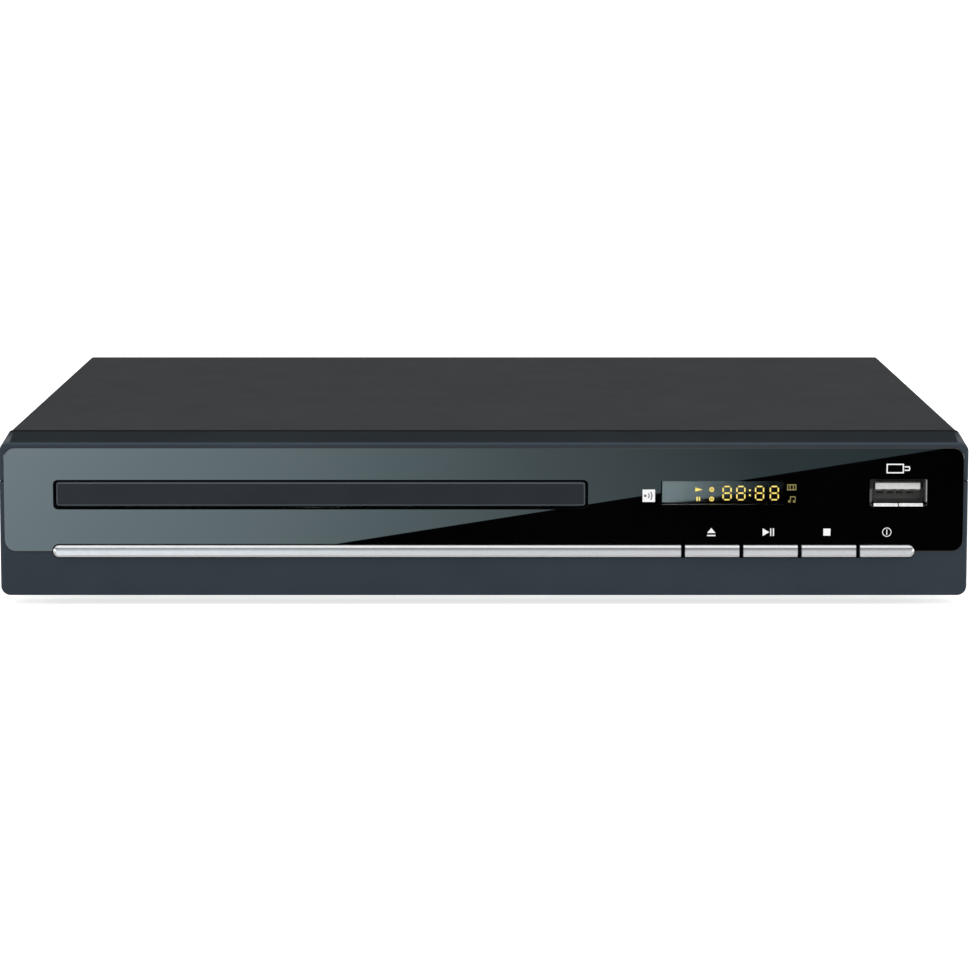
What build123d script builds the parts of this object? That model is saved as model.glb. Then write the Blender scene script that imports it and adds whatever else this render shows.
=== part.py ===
"""A compact disc player: a folded steel lid and chassis behind a moulded front, with a tray loader inside.

All sizes are millimetres. +Z is up and the front faces -Y. The origin is on the table, under the middle of
the whole player, so the feet stand at z = 0. Depths are measured backwards from the moulded front's face.
The tray is shut and the lift frame waits in its low position, as it does just before a disc is clamped.
"""
from build123d import *
import math
import os

# The whole body
BODY_WIDTH = 240.0
BODY_DEPTH = 202.0
FRONT_HEIGHT = 38.2
SOLE_GAP = 2.5
SHEET = 0.8
SEAM = 0.3
FIT = 0.2

# The moulded front
BEZEL_DEPTH = 10.0
BEZEL_TAPER = 1.2
BEZEL_RISE = 2.0
BEZEL_WALL = 2.0
BEZEL_CORNER = 2.4
BEZEL_EDGE = 0.5
LID_STEP = 0.3
FACE_WALL = 3.4
PARTING_HEIGHT = 31.2
PARTING_GROOVE = 0.3
LUG_WIDTH = 10.0
LUG_LENGTH = 9.0
LUG_THICK = 3.0
LUG_INSET_LEFT = 40.0
LUG_FROM_TRAY = 53.9
LUG_INSET_RIGHT = 25.0

# The glossy window plate that lies in the front
WINDOW_MARGIN = 1.1
WINDOW_HEIGHT = 26.1
WINDOW_CORNER = 2.85
WINDOW_TOP_MARGIN = 1.15
WINDOW_THICK = 1.6
WINDOW_PROUD = 0.2
WINDOW_EDGE = 0.25

# The tray's mouth and its door
MOUTH_INSET = 13.35
MOUTH_Z = 27.75
MOUTH_WIDTH = 132.5
MOUTH_HEIGHT = 7.4
MOUTH_CORNER = 1.2
DOOR_SIDE_GAP = 0.75
DOOR_TOP_GAP = 0.65
DOOR_BOTTOM_GAP = 0.9
DOOR_THICK = 2.4
DOOR_CORNER = 0.6
DOOR_EDGE = 0.35

# The silver bar with its four keys
BAR_INSET = 13.3
BAR_HEIGHT = 2.85
BAR_Z = 13.68
BAR_PROUD = 1.3
BAR_EDGE = 0.55
BAR_GAP = 0.35
POCKET_DEPTH = 2.4
KEY_WIDTH = 13.4
KEY_GAP = 1.06
KEY_COUNT = 4
KEY_TRAVEL = 0.3
KEY_STEM_WIDTH = 8.0
KEY_STEM_HEIGHT = 1.8
KEY_LEG = 1.4
KEY_BARB = 0.5
KEY_BARB_THICK = 0.8
KEY_NOSE_RADIUS = 0.9
PEG_RADIUS = 0.8
PEG_COUNT = 4

# Display, remote-control eye and USB socket in the window
DISPLAY_SHIFT = 1.4125
DISPLAY_Z = 28.2
DISPLAY_WIDTH = 30.8
DISPLAY_HEIGHT = 5.8
LENS_PLATE_THICK = 1.2
DISPLAY_MODULE_HEIGHT = 8.6
DISPLAY_MODULE_DEPTH = 5.6
EYE_FROM_DISPLAY = 2.93
EYE_Z = 27.5
EYE_RADIUS = 1.4
EYE_BODY = 5.4
USB_INSET = 17.35
USB_Z = 28.25
USB_LIP_WIDTH = 14.25
USB_LIP_HEIGHT = 6.8
USB_WIDTH = 13.1
USB_HEIGHT = 5.7
USB_METAL = 0.3
USB_FLARE = 1.2
USB_TONGUE_WIDTH = 11.1
USB_TONGUE_THICK = 1.84
USB_TONGUE_SETBACK = 1.4
USB_CONTACT_WIDTH = 1.2
USB_CONTACT_THICK = 0.25
USB_CONTACT_XS = (-3.5, -1.0, 1.0, 3.5)

# Front circuit board
BOARD = 1.6
FRONT_BOARD_DEPTH = 10.0
FRONT_BOARD_PAST_EYE = 4.57
FRONT_BOARD_Z = (8.5, 37.5)
BOARD_MARGIN = 4.0
BOSS_RADIUS = 2.4
SCREW_RADIUS = 1.25
SCREW_HOLE = 1.4
SCREW_HEAD_RADIUS = 2.6
SCREW_HEAD = 1.5
SWITCH_SIZE = 6.0
SWITCH_DEPTH = 3.5
SWITCH_BORE = 1.9

# Lid, chassis and rear panel
LID_BEND = 1.2
LID_HEM = 0.6
CHASSIS_HEIGHT = 4.0
CHASSIS_FLANGE = 10.0
REAR_LIP = 6.0
REAR_FOOT = 8.0
SIDE_SCREW_FRONT = 55.0
SIDE_SCREW_INSET = 37.0
SIDE_SCREW_Z = 9.5
REAR_SCREW_INSET = 18.5
REAR_SCREW_FROM_HDMI = 10.0
SHEET_SCREW_RADIUS = 1.5
SHEET_SCREW_HOLE = 1.65
SHEET_SCREW_HEAD_RADIUS = 3.0
SHEET_SCREW_HEAD = 1.4
SHEET_SCREW_LENGTH = 6.0
VENT_WIDTH = 2.0
VENT_PITCH = 5.0
SIDE_VENT_LENGTH = 14.0
SIDE_VENT_COUNT = 15
SIDE_VENT_DEPTH = 75.0
SIDE_VENT_Z = 26.0
BASE_VENT_LENGTH = 26.0
BASE_VENT_INSET_LEFT = 8.0
BASE_VENT_INSET_RIGHT = 14.0
BASE_VENT_FRONT = 56.0
BASE_VENT_FROM_REAR = 59.0

# Feet
FOOT_RADIUS = 8.0
FOOT_TOP_RADIUS = 9.0
FOOT_DISH_RADIUS = 5.5
FOOT_DISH = 0.8
FOOT_INSET_X = 24.0
FOOT_INSET_FRONT = 32.0
FOOT_INSET_REAR = 24.0

# Rear sockets
JACK_REACH = 9.0
JACK_RADIUS = 4.15
JACK_WALL = 0.4
JACK_BORE = 1.6
JACK_COLLAR = 5.2
JACK_PITCH = 14.0
JACK_INSET = 8.0
JACK_COUNT = 3
JACK_Z = 21.0
JACK_BLOCK_DEPTH = 12.0
JACK_BLOCK_HEIGHT = 12.5
COAX_SPACING = 28.0
HDMI_SPACING = 26.0
HDMI_WIDTH = 15.0
HDMI_HEIGHT = 5.6
HDMI_METAL = 0.5
HDMI_DEPTH = 11.0
HDMI_TONGUE_WIDTH = 11.2
HDMI_TONGUE_THICK = 1.7
INLET_INSET = 14.0
INLET_FLANGE_WIDTH = 25.0
INLET_FLANGE_HEIGHT = 14.5
INLET_FLANGE_THICK = 1.8
INLET_BODY_WIDTH = 21.0
INLET_BODY_HEIGHT = 11.5
INLET_BODY_DEPTH = 16.0
INLET_WELL_DEPTH = 12.0
INLET_WELL_RADIUS = 4.1
INLET_PIN_PITCH = 8.6
INLET_PIN_RADIUS = 1.2
INLET_PIN_SETBACK = 2.0
INLET_TAG = 5.0

# Tray
TRAY_WIDTH = 128.0
TRAY_REAR_ROOM = 14.0
TRAY_HEIGHT = 5.7
TRAY_FLOAT = 0.45
TRAY_CORNER = 4.0
DISC_DEPTH = 72.0
DISC_WELL_RADIUS = 60.75
DISC_WELL = 2.4
SMALL_WELL_RADIUS = 40.75
SMALL_WELL = 1.0
TRAY_FLOOR = 1.2
TRAY_RAIL = 3.0
TRAY_SLOT_WIDTH = 40.0
TRAY_SLOT_INSET = 32.0
FINGER_RADIUS = 9.0
FINGER_ANGLE = 35.0
TRAY_STROKE = 128.0
TRAY_PLAY = 0.3

# Loader frame
FRAME_SIDE_PLAY = 0.5
FRAME_WALL = 2.5
FRAME_FRONT = 14.0
FRAME_REAR_ROOM = 18.0
FRAME_BOTTOM = 6.0
FRAME_TOP = 33.0
LEDGE_WIDTH = 4.0
LEDGE_THICK = 1.8
HOOK_REACH = 3.0
HOOK_LENGTH = 12.0
HOOK_THICK = 1.6
HOOK_FRONT = 20.0
HOOK_INSETS = (62.0, 26.0)
DECK_HEIGHT = 9.0
DECK_THICK = 2.0
DECK_REAR = 46.0
RIM_WIDTH = 5.0
RIM_THICK = 2.5
EAR_RADIUS = 4.2
EAR_FRONT = 60.0
EAR_INSET = 34.0
PIVOT_INSET = 16.0
PIVOT_HEIGHT = 18.25
PIVOT_RADIUS = 2.0
PIVOT_PLAY = 0.08
PIVOT_EAR = 3.0

# Clamp over the disc
BRIDGE_THICK = 1.2
BRIDGE_LENGTH = 40.0
BRIDGE_OVERHANG = 3.0
PUCK_NECK_RADIUS = 12.5
PUCK_FLANGE_RADIUS = 16.5
PUCK_FLANGE = 1.6
PUCK_HANG = 0.3
PUCK_HOLE_PLAY = 0.5
PUCK_WELL_RADIUS = 8.5
PUCK_WELL = 2.4
MAGNET_RADIUS = 9.0
MAGNET_THICK = 1.2

# Tray drive: motor pulley, belt, pulley gear, tray gear and rack
RACK_MODULE = 0.8
RACK_TEETH = 18
RACK_HEIGHT = 1.9
RACK_PLAY = 0.15
GEAR_MODULE = 0.6
TRAY_GEAR_TEETH = 44
PULLEY_GEAR_TEETH = 16
GEAR_THICK = 2.8
GEAR_LIFT = 0.3
STUB = 0.8
ROOT = 1.1
PRESSURE_ANGLE = 22.0
BACKLASH = 0.16
GEAR_DEPTH = 28.0
HUB_RADIUS = 4.0
SHAFT_RADIUS = 1.5
SHAFT_PLAY = 0.06
PULLEY_RADIUS = 12.0
PULLEY_RIM = 1.0
PULLEY_THICK = 3.0
MOTOR_PULLEY_RADIUS = 3.0
BELT_THICK = 1.0
MOTOR_SPAN = 36.0
MOTOR_RADIUS = 12.2
MOTOR_HEIGHT = 12.3
MOTOR_SHAFT_RADIUS = 1.0
MOTOR_NECK_RADIUS = 3.2

# Lift frame and its cam slider, sized in the level position
DISC_SEAT = 30.4
SPINDLE_DROP = 8.6
LIFT_BAR = 9.0
LIFT_THICK = 2.5
LIFT_HALF_WIDTH = 56.0
LIFT_FRONT = 53.0
CAM_PIN_RADIUS = 1.2
CAM_PIN_OFFSETS = (-34.0, 30.0)
CAM_SLOT_RADIUS = 1.6
CAM_THICK = 2.4
CAM_TRAVEL = 14.0
CAM_BOTTOM = 5.1
CAM_MARGIN = 5.0
CAM_GAP = 0.6
CAM_FOOT = 6.5
CAM_FOOT_THICK = 1.5
CAM_RACK_TEETH = 7
CAM_RACK_CLEAR = 0.3

# Drive plate on dampers, with the spindle motor, rails, lead screw and pickup
PLATE_THICK = 1.2
DAMPER_RADIUS = 4.6
DAMPER_FOOT = 1.4
DAMPER_HEAD = 1.2
DAMPER_NECK = 3.0
DAMPER_BORE = 1.7
DAMPER_SCREW_RADIUS = 1.5
DAMPER_INSET = 5.5
PLATE_FRONT = 58.0
PLATE_TO_PIVOT = 6.0
SPINDLE_MOTOR_RADIUS = 11.5
SPINDLE_MOTOR_HEIGHT = 3.2
SPINDLE_TUBE_RADIUS = 3.2
SPINDLE_TUBE_HEIGHT = 4.5
SPINDLE_SHAFT_RADIUS = 1.0
TURNTABLE_RADIUS = 14.0
SEAT_OUTER_RADIUS = 15.0
SEAT_INNER_RADIUS = 10.5
SEAT_THICK = 0.8
HUB_BASE_RADIUS = 7.4
HUB_TOP_RADIUS = 6.4
HUB_HEIGHT = 2.2
RAIL_OFFSET = 24.0
RAIL_RADIUS = 1.5
RAIL_PLAY = 0.06
RAIL_BELOW = 2.0
RAIL_CLIP = 3.0
RAIL_CLIP_LENGTH = 4.0
PICKUP_FIRST_RADIUS = 24.0
PICKUP_END_GAP = 4.0
SLED_AHEAD = 9.0
SLED_BEHIND = 19.0
SLED_HALF_WIDTH = 28.0
SLED_BELOW = 3.6
SLED_NECK_HALF_WIDTH = 16.0
SLED_TOP_GAP = 1.0
LENS_BOSS = 13.0
LENS_BOSS_HEIGHT = 1.6
LENS_RADIUS = 2.6
LENS_GAP = 1.8
LENS_RING = 4.2
LENS_TRAVEL = 0.5
SCREW_OFFSET = 35.0
LEAD_SCREW_RADIUS = 1.5
LEAD_SCREW_PLAY = 0.1
LEAD_SCREW_BELOW = 3.5
NUT_LENGTH = 8.0
NUT_HALF_WIDTH = 3.4
SLED_MOTOR_RADIUS = 5.6
SLED_MOTOR_LENGTH = 9.0

# Circuit boards and what they carry
BOARD_SIDE_GAP = 3.5
BOARD_SPACING = 4.0
MAIN_BOARD_GAP = 11.4
MAIN_BOARD_FRONT = 72.0
STRIP_BOARD_MARGIN = 4.5
STRIP_BOARD_WIDTH = 13.2
POWER_BOARD_WIDTH = 31.0
POWER_BOARD_FRONT = 20.0
BOARD_HOLE_INSET = 18.2
STANDOFF = 6.2
STANDOFF_RADIUS = 3.0
CHIP_THICK = 1.6
DECODER_SIZE = 20.0
DECODER_DEPTH = 118.0
MEMORY_LENGTH = 20.0
MEMORY_WIDTH = 9.0
MEMORY_DEPTH = 140.0
DRIVER_SIZE = 10.0
DRIVER_DEPTH = 90.0
BULK_RADIUS = 8.0
BULK_HEIGHT = 23.0
BULK_DEPTH = 48.0
SMALL_RADIUS = 4.0
SMALL_HEIGHT = 12.0
SMALL_PITCH = 11.0
SMALL_COUNT = 4
CAPACITOR_EDGE = 0.8
CORE_WIDTH = 20.0
CORE_LENGTH = 8.0
CORE_HEIGHT = 17.0
CORE_LEG = 4.0
COIL_LENGTH = 16.0
TRANSFORMER_DEPTH = 104.0
SINK_WIDTH = 22.0
SINK_HEIGHT = 20.0
SINK_PLATE = 1.5
SINK_FIN = 6.0
SINK_FINS = 6
SINK_DEPTH = 74.0
RIBBON_WIDTH = 20.0
RIBBON_THICK = 0.8
RIBBON_LIFT = 6.0
PLUG_HEIGHT = 5.0
PLUG_LENGTH = 5.0
FLEX_WIDTH = 14.0
FLEX_THICK = 0.3
FLEX_DEPTH = 100.0
FLEX_PAST_TRAY = 10.4

# What the sizes above give
TOTAL_DEPTH = BAR_PROUD + BODY_DEPTH + JACK_REACH
FRONT = BAR_PROUD - TOTAL_DEPTH / 2
LID_WIDTH = BODY_WIDTH - 2 * BEZEL_TAPER - 2 * LID_STEP
LID_TOP = SOLE_GAP + FRONT_HEIGHT + BEZEL_RISE
LID_BOTTOM = CHASSIS_HEIGHT + LID_HEM
LID_FRONT = BEZEL_DEPTH + SEAM
CHASSIS_TOP = CHASSIS_HEIGHT + SHEET
CHASSIS_HALF = LID_WIDTH / 2 - SHEET - FIT
REAR_OUTER = BODY_DEPTH - SHEET
REAR_INNER = REAR_OUTER - SHEET
WINDOW_WIDTH = BODY_WIDTH - 2 * WINDOW_MARGIN
WINDOW_Z = SOLE_GAP + FRONT_HEIGHT - WINDOW_TOP_MARGIN - WINDOW_HEIGHT / 2
WINDOW_SEAT = WINDOW_THICK - WINDOW_PROUD
BAR_WIDTH = BODY_WIDTH - 2 * BAR_INSET
POCKET_WIDTH = BAR_WIDTH + 2 * BAR_GAP
POCKET_HEIGHT = BAR_HEIGHT + 2 * BAR_GAP
KEY_PITCH = KEY_WIDTH + KEY_GAP
KEY_XS = [BAR_WIDTH / 2 - KEY_WIDTH / 2 - KEY_PITCH * (KEY_COUNT - 1 - i) for i in range(KEY_COUNT)]
KEY_BACK = POCKET_DEPTH - KEY_TRAVEL - FIT / 2
SWITCH_FACE = FRONT_BOARD_DEPTH - SWITCH_DEPTH
MOUTH_X = MOUTH_INSET + MOUTH_WIDTH / 2 - BODY_WIDTH / 2
USB_X = BODY_WIDTH / 2 - USB_INSET
DISPLAY_X = (MOUTH_X + MOUTH_WIDTH / 2 + USB_X - USB_LIP_WIDTH / 2) / 2 - DISPLAY_SHIFT
EYE_X = DISPLAY_X - DISPLAY_WIDTH / 2 - EYE_FROM_DISPLAY
FRONT_BOARD_X = (EYE_X - FRONT_BOARD_PAST_EYE, LID_WIDTH / 2 - BOARD_SIDE_GAP)
DOOR_WIDTH = MOUTH_WIDTH - 2 * DOOR_SIDE_GAP
DOOR_HEIGHT = MOUTH_HEIGHT - DOOR_TOP_GAP - DOOR_BOTTOM_GAP
DOOR_Z = MOUTH_Z + (DOOR_BOTTOM_GAP - DOOR_TOP_GAP) / 2
TRAY_X = MOUTH_X
LUG_XS = (LUG_INSET_LEFT - BODY_WIDTH / 2, TRAY_X + LUG_FROM_TRAY, BODY_WIDTH / 2 - LUG_INSET_RIGHT)
FRAME_REAR = BODY_DEPTH - FRAME_REAR_ROOM
TRAY_REAR = FRAME_REAR - TRAY_REAR_ROOM
TRAY_SLOT_REAR = TRAY_REAR - TRAY_SLOT_INSET
HOOK_DEPTHS = [HOOK_FRONT] + [FRAME_REAR - inset for inset in HOOK_INSETS]
EAR_DEPTHS = (EAR_FRONT, FRAME_REAR - EAR_INSET)
PIVOT_DEPTH = FRAME_REAR - PIVOT_INSET
PLATE_REAR = PIVOT_DEPTH - PLATE_TO_PIVOT
TRAY_BOTTOM = MOUTH_Z - MOUTH_HEIGHT / 2 + TRAY_FLOAT
TRAY_TOP = TRAY_BOTTOM + TRAY_HEIGHT
WELL_Z = TRAY_TOP - DISC_WELL
SMALL_WELL_Z = WELL_Z - SMALL_WELL
FLOOR_Z = SMALL_WELL_Z - TRAY_FLOOR
TRAY_HALF = TRAY_WIDTH / 2
WALL_INNER = TRAY_HALF + FRAME_SIDE_PLAY
WALL_OUTER = WALL_INNER + FRAME_WALL
LEDGE_TOP = TRAY_BOTTOM - TRAY_PLAY
DECK_TOP = DECK_HEIGHT + DECK_THICK
RACK_ROOT_X = TRAY_X + TRAY_HALF - TRAY_RAIL
RACK_PITCH_X = RACK_ROOT_X - ROOT * RACK_MODULE
RACK_GEAR_RADIUS = RACK_MODULE * RACK_TEETH / 2
TRAY_GEAR_X = RACK_PITCH_X - RACK_GEAR_RADIUS
GEAR_CENTRES = GEAR_MODULE * (TRAY_GEAR_TEETH + PULLEY_GEAR_TEETH) / 2
PULLEY_GEAR_X = TRAY_GEAR_X - GEAR_CENTRES
MOTOR_X = PULLEY_GEAR_X - MOTOR_SPAN
GEAR_BOTTOM = DECK_TOP + GEAR_LIFT
PULLEY_TOP = DECK_HEIGHT - GEAR_LIFT
PIVOT_ARM = PIVOT_DEPTH - DISC_DEPTH
DROP_ANGLE = math.degrees(math.asin(SPINDLE_DROP / PIVOT_ARM))
LIFT_Z = PIVOT_HEIGHT - LIFT_THICK / 2
LIFT_TOP = LIFT_Z + LIFT_THICK
PLATE_Z = LIFT_TOP + DAMPER_FOOT
PLATE_TOP = PLATE_Z + PLATE_THICK
RAIL_Z = PLATE_Z - RAIL_BELOW
SCREW_Z = PLATE_Z - LEAD_SCREW_BELOW
PICKUP_DEPTH = DISC_DEPTH + PICKUP_FIRST_RADIUS
SLED_FRONT = PICKUP_DEPTH - SLED_AHEAD
SLED_REAR = PICKUP_DEPTH + SLED_BEHIND
PICKUP_TRAVEL = PLATE_REAR - SLED_MOTOR_LENGTH - PICKUP_END_GAP - SLED_REAR
SLED_FLOOR = RAIL_Z - SLED_BELOW
CAM_FRONT = DECK_REAR + CAM_GAP
CAM_REAR = CAM_FRONT + CAM_THICK
BOARD_Z = CHASSIS_TOP + STANDOFF
BOARD_TOP = BOARD_Z + BOARD
BOARD_REAR = REAR_INNER - FIT
INLET_Z = BOARD_TOP + INLET_BODY_HEIGHT / 2
POWER_BOARD_X = (LID_WIDTH / 2 - BOARD_SIDE_GAP - POWER_BOARD_WIDTH, LID_WIDTH / 2 - BOARD_SIDE_GAP)
MAIN_BOARD_X = (TRAY_X + WALL_OUTER + MAIN_BOARD_GAP, POWER_BOARD_X[0] - BOARD_SPACING)
JACK_FIRST_X = MAIN_BOARD_X[1] - JACK_INSET - JACK_PITCH * (JACK_COUNT - 1)
COAX_X = JACK_FIRST_X - COAX_SPACING
HDMI_X = COAX_X - HDMI_SPACING
INLET_X = POWER_BOARD_X[1] - INLET_INSET
STRIP_BOARD_LEFT = HDMI_X - HDMI_WIDTH / 2 - STRIP_BOARD_MARGIN
STRIP_BOARD_FRONT = BOARD_REAR - STRIP_BOARD_WIDTH
BOARD_HOLE_REAR = BOARD_REAR - BOARD_HOLE_INSET
SIDE_SCREW_DEPTHS = (SIDE_SCREW_FRONT, BODY_DEPTH - SIDE_SCREW_INSET)
REAR_SCREW_OUT = LID_WIDTH / 2 - REAR_SCREW_INSET
REAR_SCREW_XS = (-REAR_SCREW_OUT, HDMI_X + REAR_SCREW_FROM_HDMI, REAR_SCREW_OUT)
BASE_VENT_FIRST_X = MAIN_BOARD_X[0] + BASE_VENT_INSET_LEFT
BASE_VENT_ROOM = POWER_BOARD_X[1] - BASE_VENT_INSET_RIGHT - BASE_VENT_FIRST_X
BASE_VENT_COUNT = int(BASE_VENT_ROOM / VENT_PITCH + 0.01) + 1
BASE_VENT_DEPTHS = (BASE_VENT_FRONT, BODY_DEPTH - BASE_VENT_FROM_REAR)
SMALL_MIDDLE = (TRANSFORMER_DEPTH + COIL_LENGTH / 2 + REAR_OUTER - INLET_BODY_DEPTH - INLET_TAG) / 2
SMALL_FRONT = SMALL_MIDDLE - SMALL_PITCH * (SMALL_COUNT - 1) / 2
RIBBON_X = sum(MAIN_BOARD_X) / 2
FLEX_END_X = TRAY_X + FLEX_PAST_TRAY


def deep(depth):
    """The y of a depth behind the front's face."""
    return FRONT + depth


def block(x, depth, z):
    """A box from its low and high limits, the middle pair being depths."""
    size = (x[1] - x[0], depth[1] - depth[0], z[1] - z[0])
    middle = (sum(x) / 2, deep(sum(depth) / 2), sum(z) / 2)
    return Pos(*middle) * Box(*size)


def post(x, depth, z, radius):
    """An upright cylinder."""
    return Pos(x, deep(depth), sum(z) / 2) * Cylinder(radius, z[1] - z[0])


def cone(x, depth, z, low_radius, high_radius):
    """An upright cone."""
    return Pos(x, deep(depth), sum(z) / 2) * Cone(low_radius, high_radius, z[1] - z[0])


def rod(x, depth, z, radius):
    """A cylinder that runs from front to back."""
    return Pos(x, deep(sum(depth) / 2), z) * Rot(90, 0, 0) * Cylinder(radius, depth[1] - depth[0])


def axle(x, depth, z, radius):
    """A cylinder that runs from side to side."""
    return Pos(sum(x) / 2, deep(depth), z) * Rot(0, 90, 0) * Cylinder(radius, x[1] - x[0])


def panel(outline, x, z, depth):
    """A flat outline, drawn as seen from the front and centred at x, z, given its thickness in depth."""
    plane = Plane((x, deep(depth[0]), z), x_dir=(1, 0, 0), z_dir=(0, -1, 0))
    return extrude(plane * outline, -(depth[1] - depth[0]))


def floor_plate(outline, x, depth, z):
    """A flat outline, drawn from above and centred at x, depth, given its thickness in z."""
    return extrude(Pos(x, deep(depth), z[0]) * outline, z[1] - z[0])


def tube(points, radius, bends):
    """A round wire along straight runs joined by arcs."""
    path = FilletPolyline(*points, radius=bends)
    return sweep(Plane(path @ 0, z_dir=path % 0) * Circle(radius), path=path)


def together(shapes):
    """Separate solids as one compound."""
    return Compound([solid for shape in shapes for solid in shape.solids()])


def lowered(shape):
    """Turns what the lift frame carries from its level position down to where it waits."""
    return shape.rotate(Axis((0, deep(PIVOT_DEPTH), PIVOT_HEIGHT), (1, 0, 0)), DROP_ANGLE)


def save(name, shape):
    """Writes one piece, or one set of like pieces, as its own file."""
    export_step(shape, os.path.join("parts", name + ".step"))


def mouth(depth):
    return panel(RectangleRounded(MOUTH_WIDTH, MOUTH_HEIGHT, MOUTH_CORNER), MOUTH_X, MOUTH_Z, depth)


def bar_pocket(depth):
    return panel(SlotOverall(POCKET_WIDTH, POCKET_HEIGHT), 0, BAR_Z, depth)


def display_hole(depth, margin):
    outline = Rectangle(DISPLAY_WIDTH + 2 * margin, DISPLAY_HEIGHT + 2 * margin)
    return panel(outline, DISPLAY_X, DISPLAY_Z, depth)


def usb_hole(depth, margin):
    width, height = USB_LIP_WIDTH + 2 * margin, USB_LIP_HEIGHT + 2 * margin
    return panel(RectangleRounded(width, height, USB_METAL * 2 + margin), USB_X, USB_Z, depth)


def bezel_body(inset):
    """The tapered outside of the moulded front, drawn in by an inset on every side and at the face.

    At the back its corners have the lid's bend, and its sides stand out past the lid's by a small step.
    """
    height = FRONT_HEIGHT - 2 * inset
    rear_height = FRONT_HEIGHT + BEZEL_RISE - 2 * inset
    front_plane = Plane((0, deep(inset), SOLE_GAP + FRONT_HEIGHT / 2), x_dir=(1, 0, 0), z_dir=(0, -1, 0))
    rear_middle = SOLE_GAP + (FRONT_HEIGHT + BEZEL_RISE) / 2
    rear_plane = Plane((0, deep(BEZEL_DEPTH), rear_middle), x_dir=(1, 0, 0), z_dir=(0, -1, 0))
    front = front_plane * RectangleRounded(BODY_WIDTH - 2 * inset, height, BEZEL_CORNER - inset)
    rear_width = BODY_WIDTH - 2 * BEZEL_TAPER - 2 * inset
    rear = rear_plane * RectangleRounded(rear_width, rear_height, LID_BEND - inset)
    return loft([front, rear])


def front_board_corners():
    """Where the front circuit board is screwed on, as x and z."""
    xs = (FRONT_BOARD_X[0] + BOARD_MARGIN, FRONT_BOARD_X[1] - BOARD_MARGIN)
    zs = (FRONT_BOARD_Z[0] + BOARD_MARGIN / 2, FRONT_BOARD_Z[1] - BOARD_MARGIN / 2)
    return [(x, z) for x in xs for z in zs]


def peg_xs():
    """The trim bar's pegs, spread along the part of the bar left of the keys."""
    left = -BAR_WIDTH / 2
    right = KEY_XS[0] - KEY_WIDTH / 2 - KEY_GAP
    step = (right - left) / PEG_COUNT
    return [left + step * (i + 0.5) for i in range(PEG_COUNT)]


def make_front_bezel():
    body = bezel_body(0)
    face_edges = body.faces().sort_by(Axis.Y)[0].edges()
    body = fillet(face_edges, BEZEL_EDGE)
    inner_x = (BEZEL_WALL - LID_WIDTH / 2, LID_WIDTH / 2 - BEZEL_WALL)
    inner_z = (SOLE_GAP + BEZEL_WALL, SOLE_GAP + FRONT_HEIGHT - BEZEL_WALL)
    body -= block(inner_x, (FACE_WALL, BEZEL_DEPTH + 1), inner_z)
    seat = RectangleRounded(WINDOW_WIDTH, WINDOW_HEIGHT, WINDOW_CORNER)
    body -= panel(seat, 0, WINDOW_Z, (-1, WINDOW_SEAT))
    body -= bar_pocket((-1, POCKET_DEPTH))
    body -= mouth((-1, FACE_WALL + 1))
    body -= display_hole((-1, FACE_WALL + 1), -FIT)
    body -= usb_hole((-1, FACE_WALL + 1), FIT)
    body -= rod(EYE_X, (-1, FACE_WALL + 1), EYE_Z, EYE_RADIUS)
    for x in KEY_XS:
        stem_hole = Rectangle(KEY_STEM_WIDTH + 2 * FIT, KEY_STEM_HEIGHT + 2 * FIT)
        body -= panel(stem_hole, x, BAR_Z, (0, FACE_WALL + 1))
    for x in peg_xs():
        body -= rod(x, (0, FACE_WALL + 1), BAR_Z, PEG_RADIUS + FIT / 2)
    for x, z in front_board_corners():
        body += rod(x, (FACE_WALL, FRONT_BOARD_DEPTH), z, BOSS_RADIUS)
        body -= rod(x, (FACE_WALL, FRONT_BOARD_DEPTH), z, SCREW_RADIUS + FIT / 4)
    for x in LUG_XS:
        lug_x = (x - LUG_WIDTH / 2, x + LUG_WIDTH / 2)
        body += block(lug_x, (FACE_WALL, BEZEL_DEPTH + LUG_LENGTH), (CHASSIS_TOP, CHASSIS_TOP + LUG_THICK))
        body += block(lug_x, (FACE_WALL, BEZEL_DEPTH), (SOLE_GAP + BEZEL_WALL, CHASSIS_TOP))
        body -= post(x, BEZEL_DEPTH + LUG_LENGTH / 2, (CHASSIS_TOP, LID_TOP), SCREW_RADIUS + FIT / 4)
    band_z = (PARTING_HEIGHT - PARTING_GROOVE / 2, PARTING_HEIGHT + PARTING_GROOVE / 2)
    band = block((-BODY_WIDTH, BODY_WIDTH), (-1, BEZEL_DEPTH + 1), band_z)
    side = block((-CHASSIS_HALF, CHASSIS_HALF), (-1, BEZEL_DEPTH + 1), band_z)
    return body - (band - bezel_body(PARTING_GROOVE) - side)


def make_front_window():
    outline = RectangleRounded(WINDOW_WIDTH, WINDOW_HEIGHT, WINDOW_CORNER)
    plate = panel(outline, 0, WINDOW_Z, (-WINDOW_PROUD, WINDOW_SEAT))
    plate = fillet(plate.faces().sort_by(Axis.Y)[0].edges(), WINDOW_EDGE)
    plate -= bar_pocket((-1, FACE_WALL))
    plate -= mouth((-1, FACE_WALL))
    plate -= display_hole((-1, FACE_WALL), 0)
    plate -= usb_hole((-1, FACE_WALL), FIT)
    return plate


def make_display_lens():
    outline = Rectangle(DISPLAY_WIDTH - 2 * FIT / 2, DISPLAY_HEIGHT - 2 * FIT / 2)
    return panel(outline, DISPLAY_X, DISPLAY_Z, (WINDOW_SEAT - LENS_PLATE_THICK, WINDOW_SEAT))


def whole_bar():
    """The bar before it is parted into the trim and the keys."""
    bar = panel(SlotOverall(BAR_WIDTH, BAR_HEIGHT), 0, BAR_Z, (-BAR_PROUD, POCKET_DEPTH))
    return chamfer(bar.faces().sort_by(Axis.Y)[0].edges(), BAR_EDGE)


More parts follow.
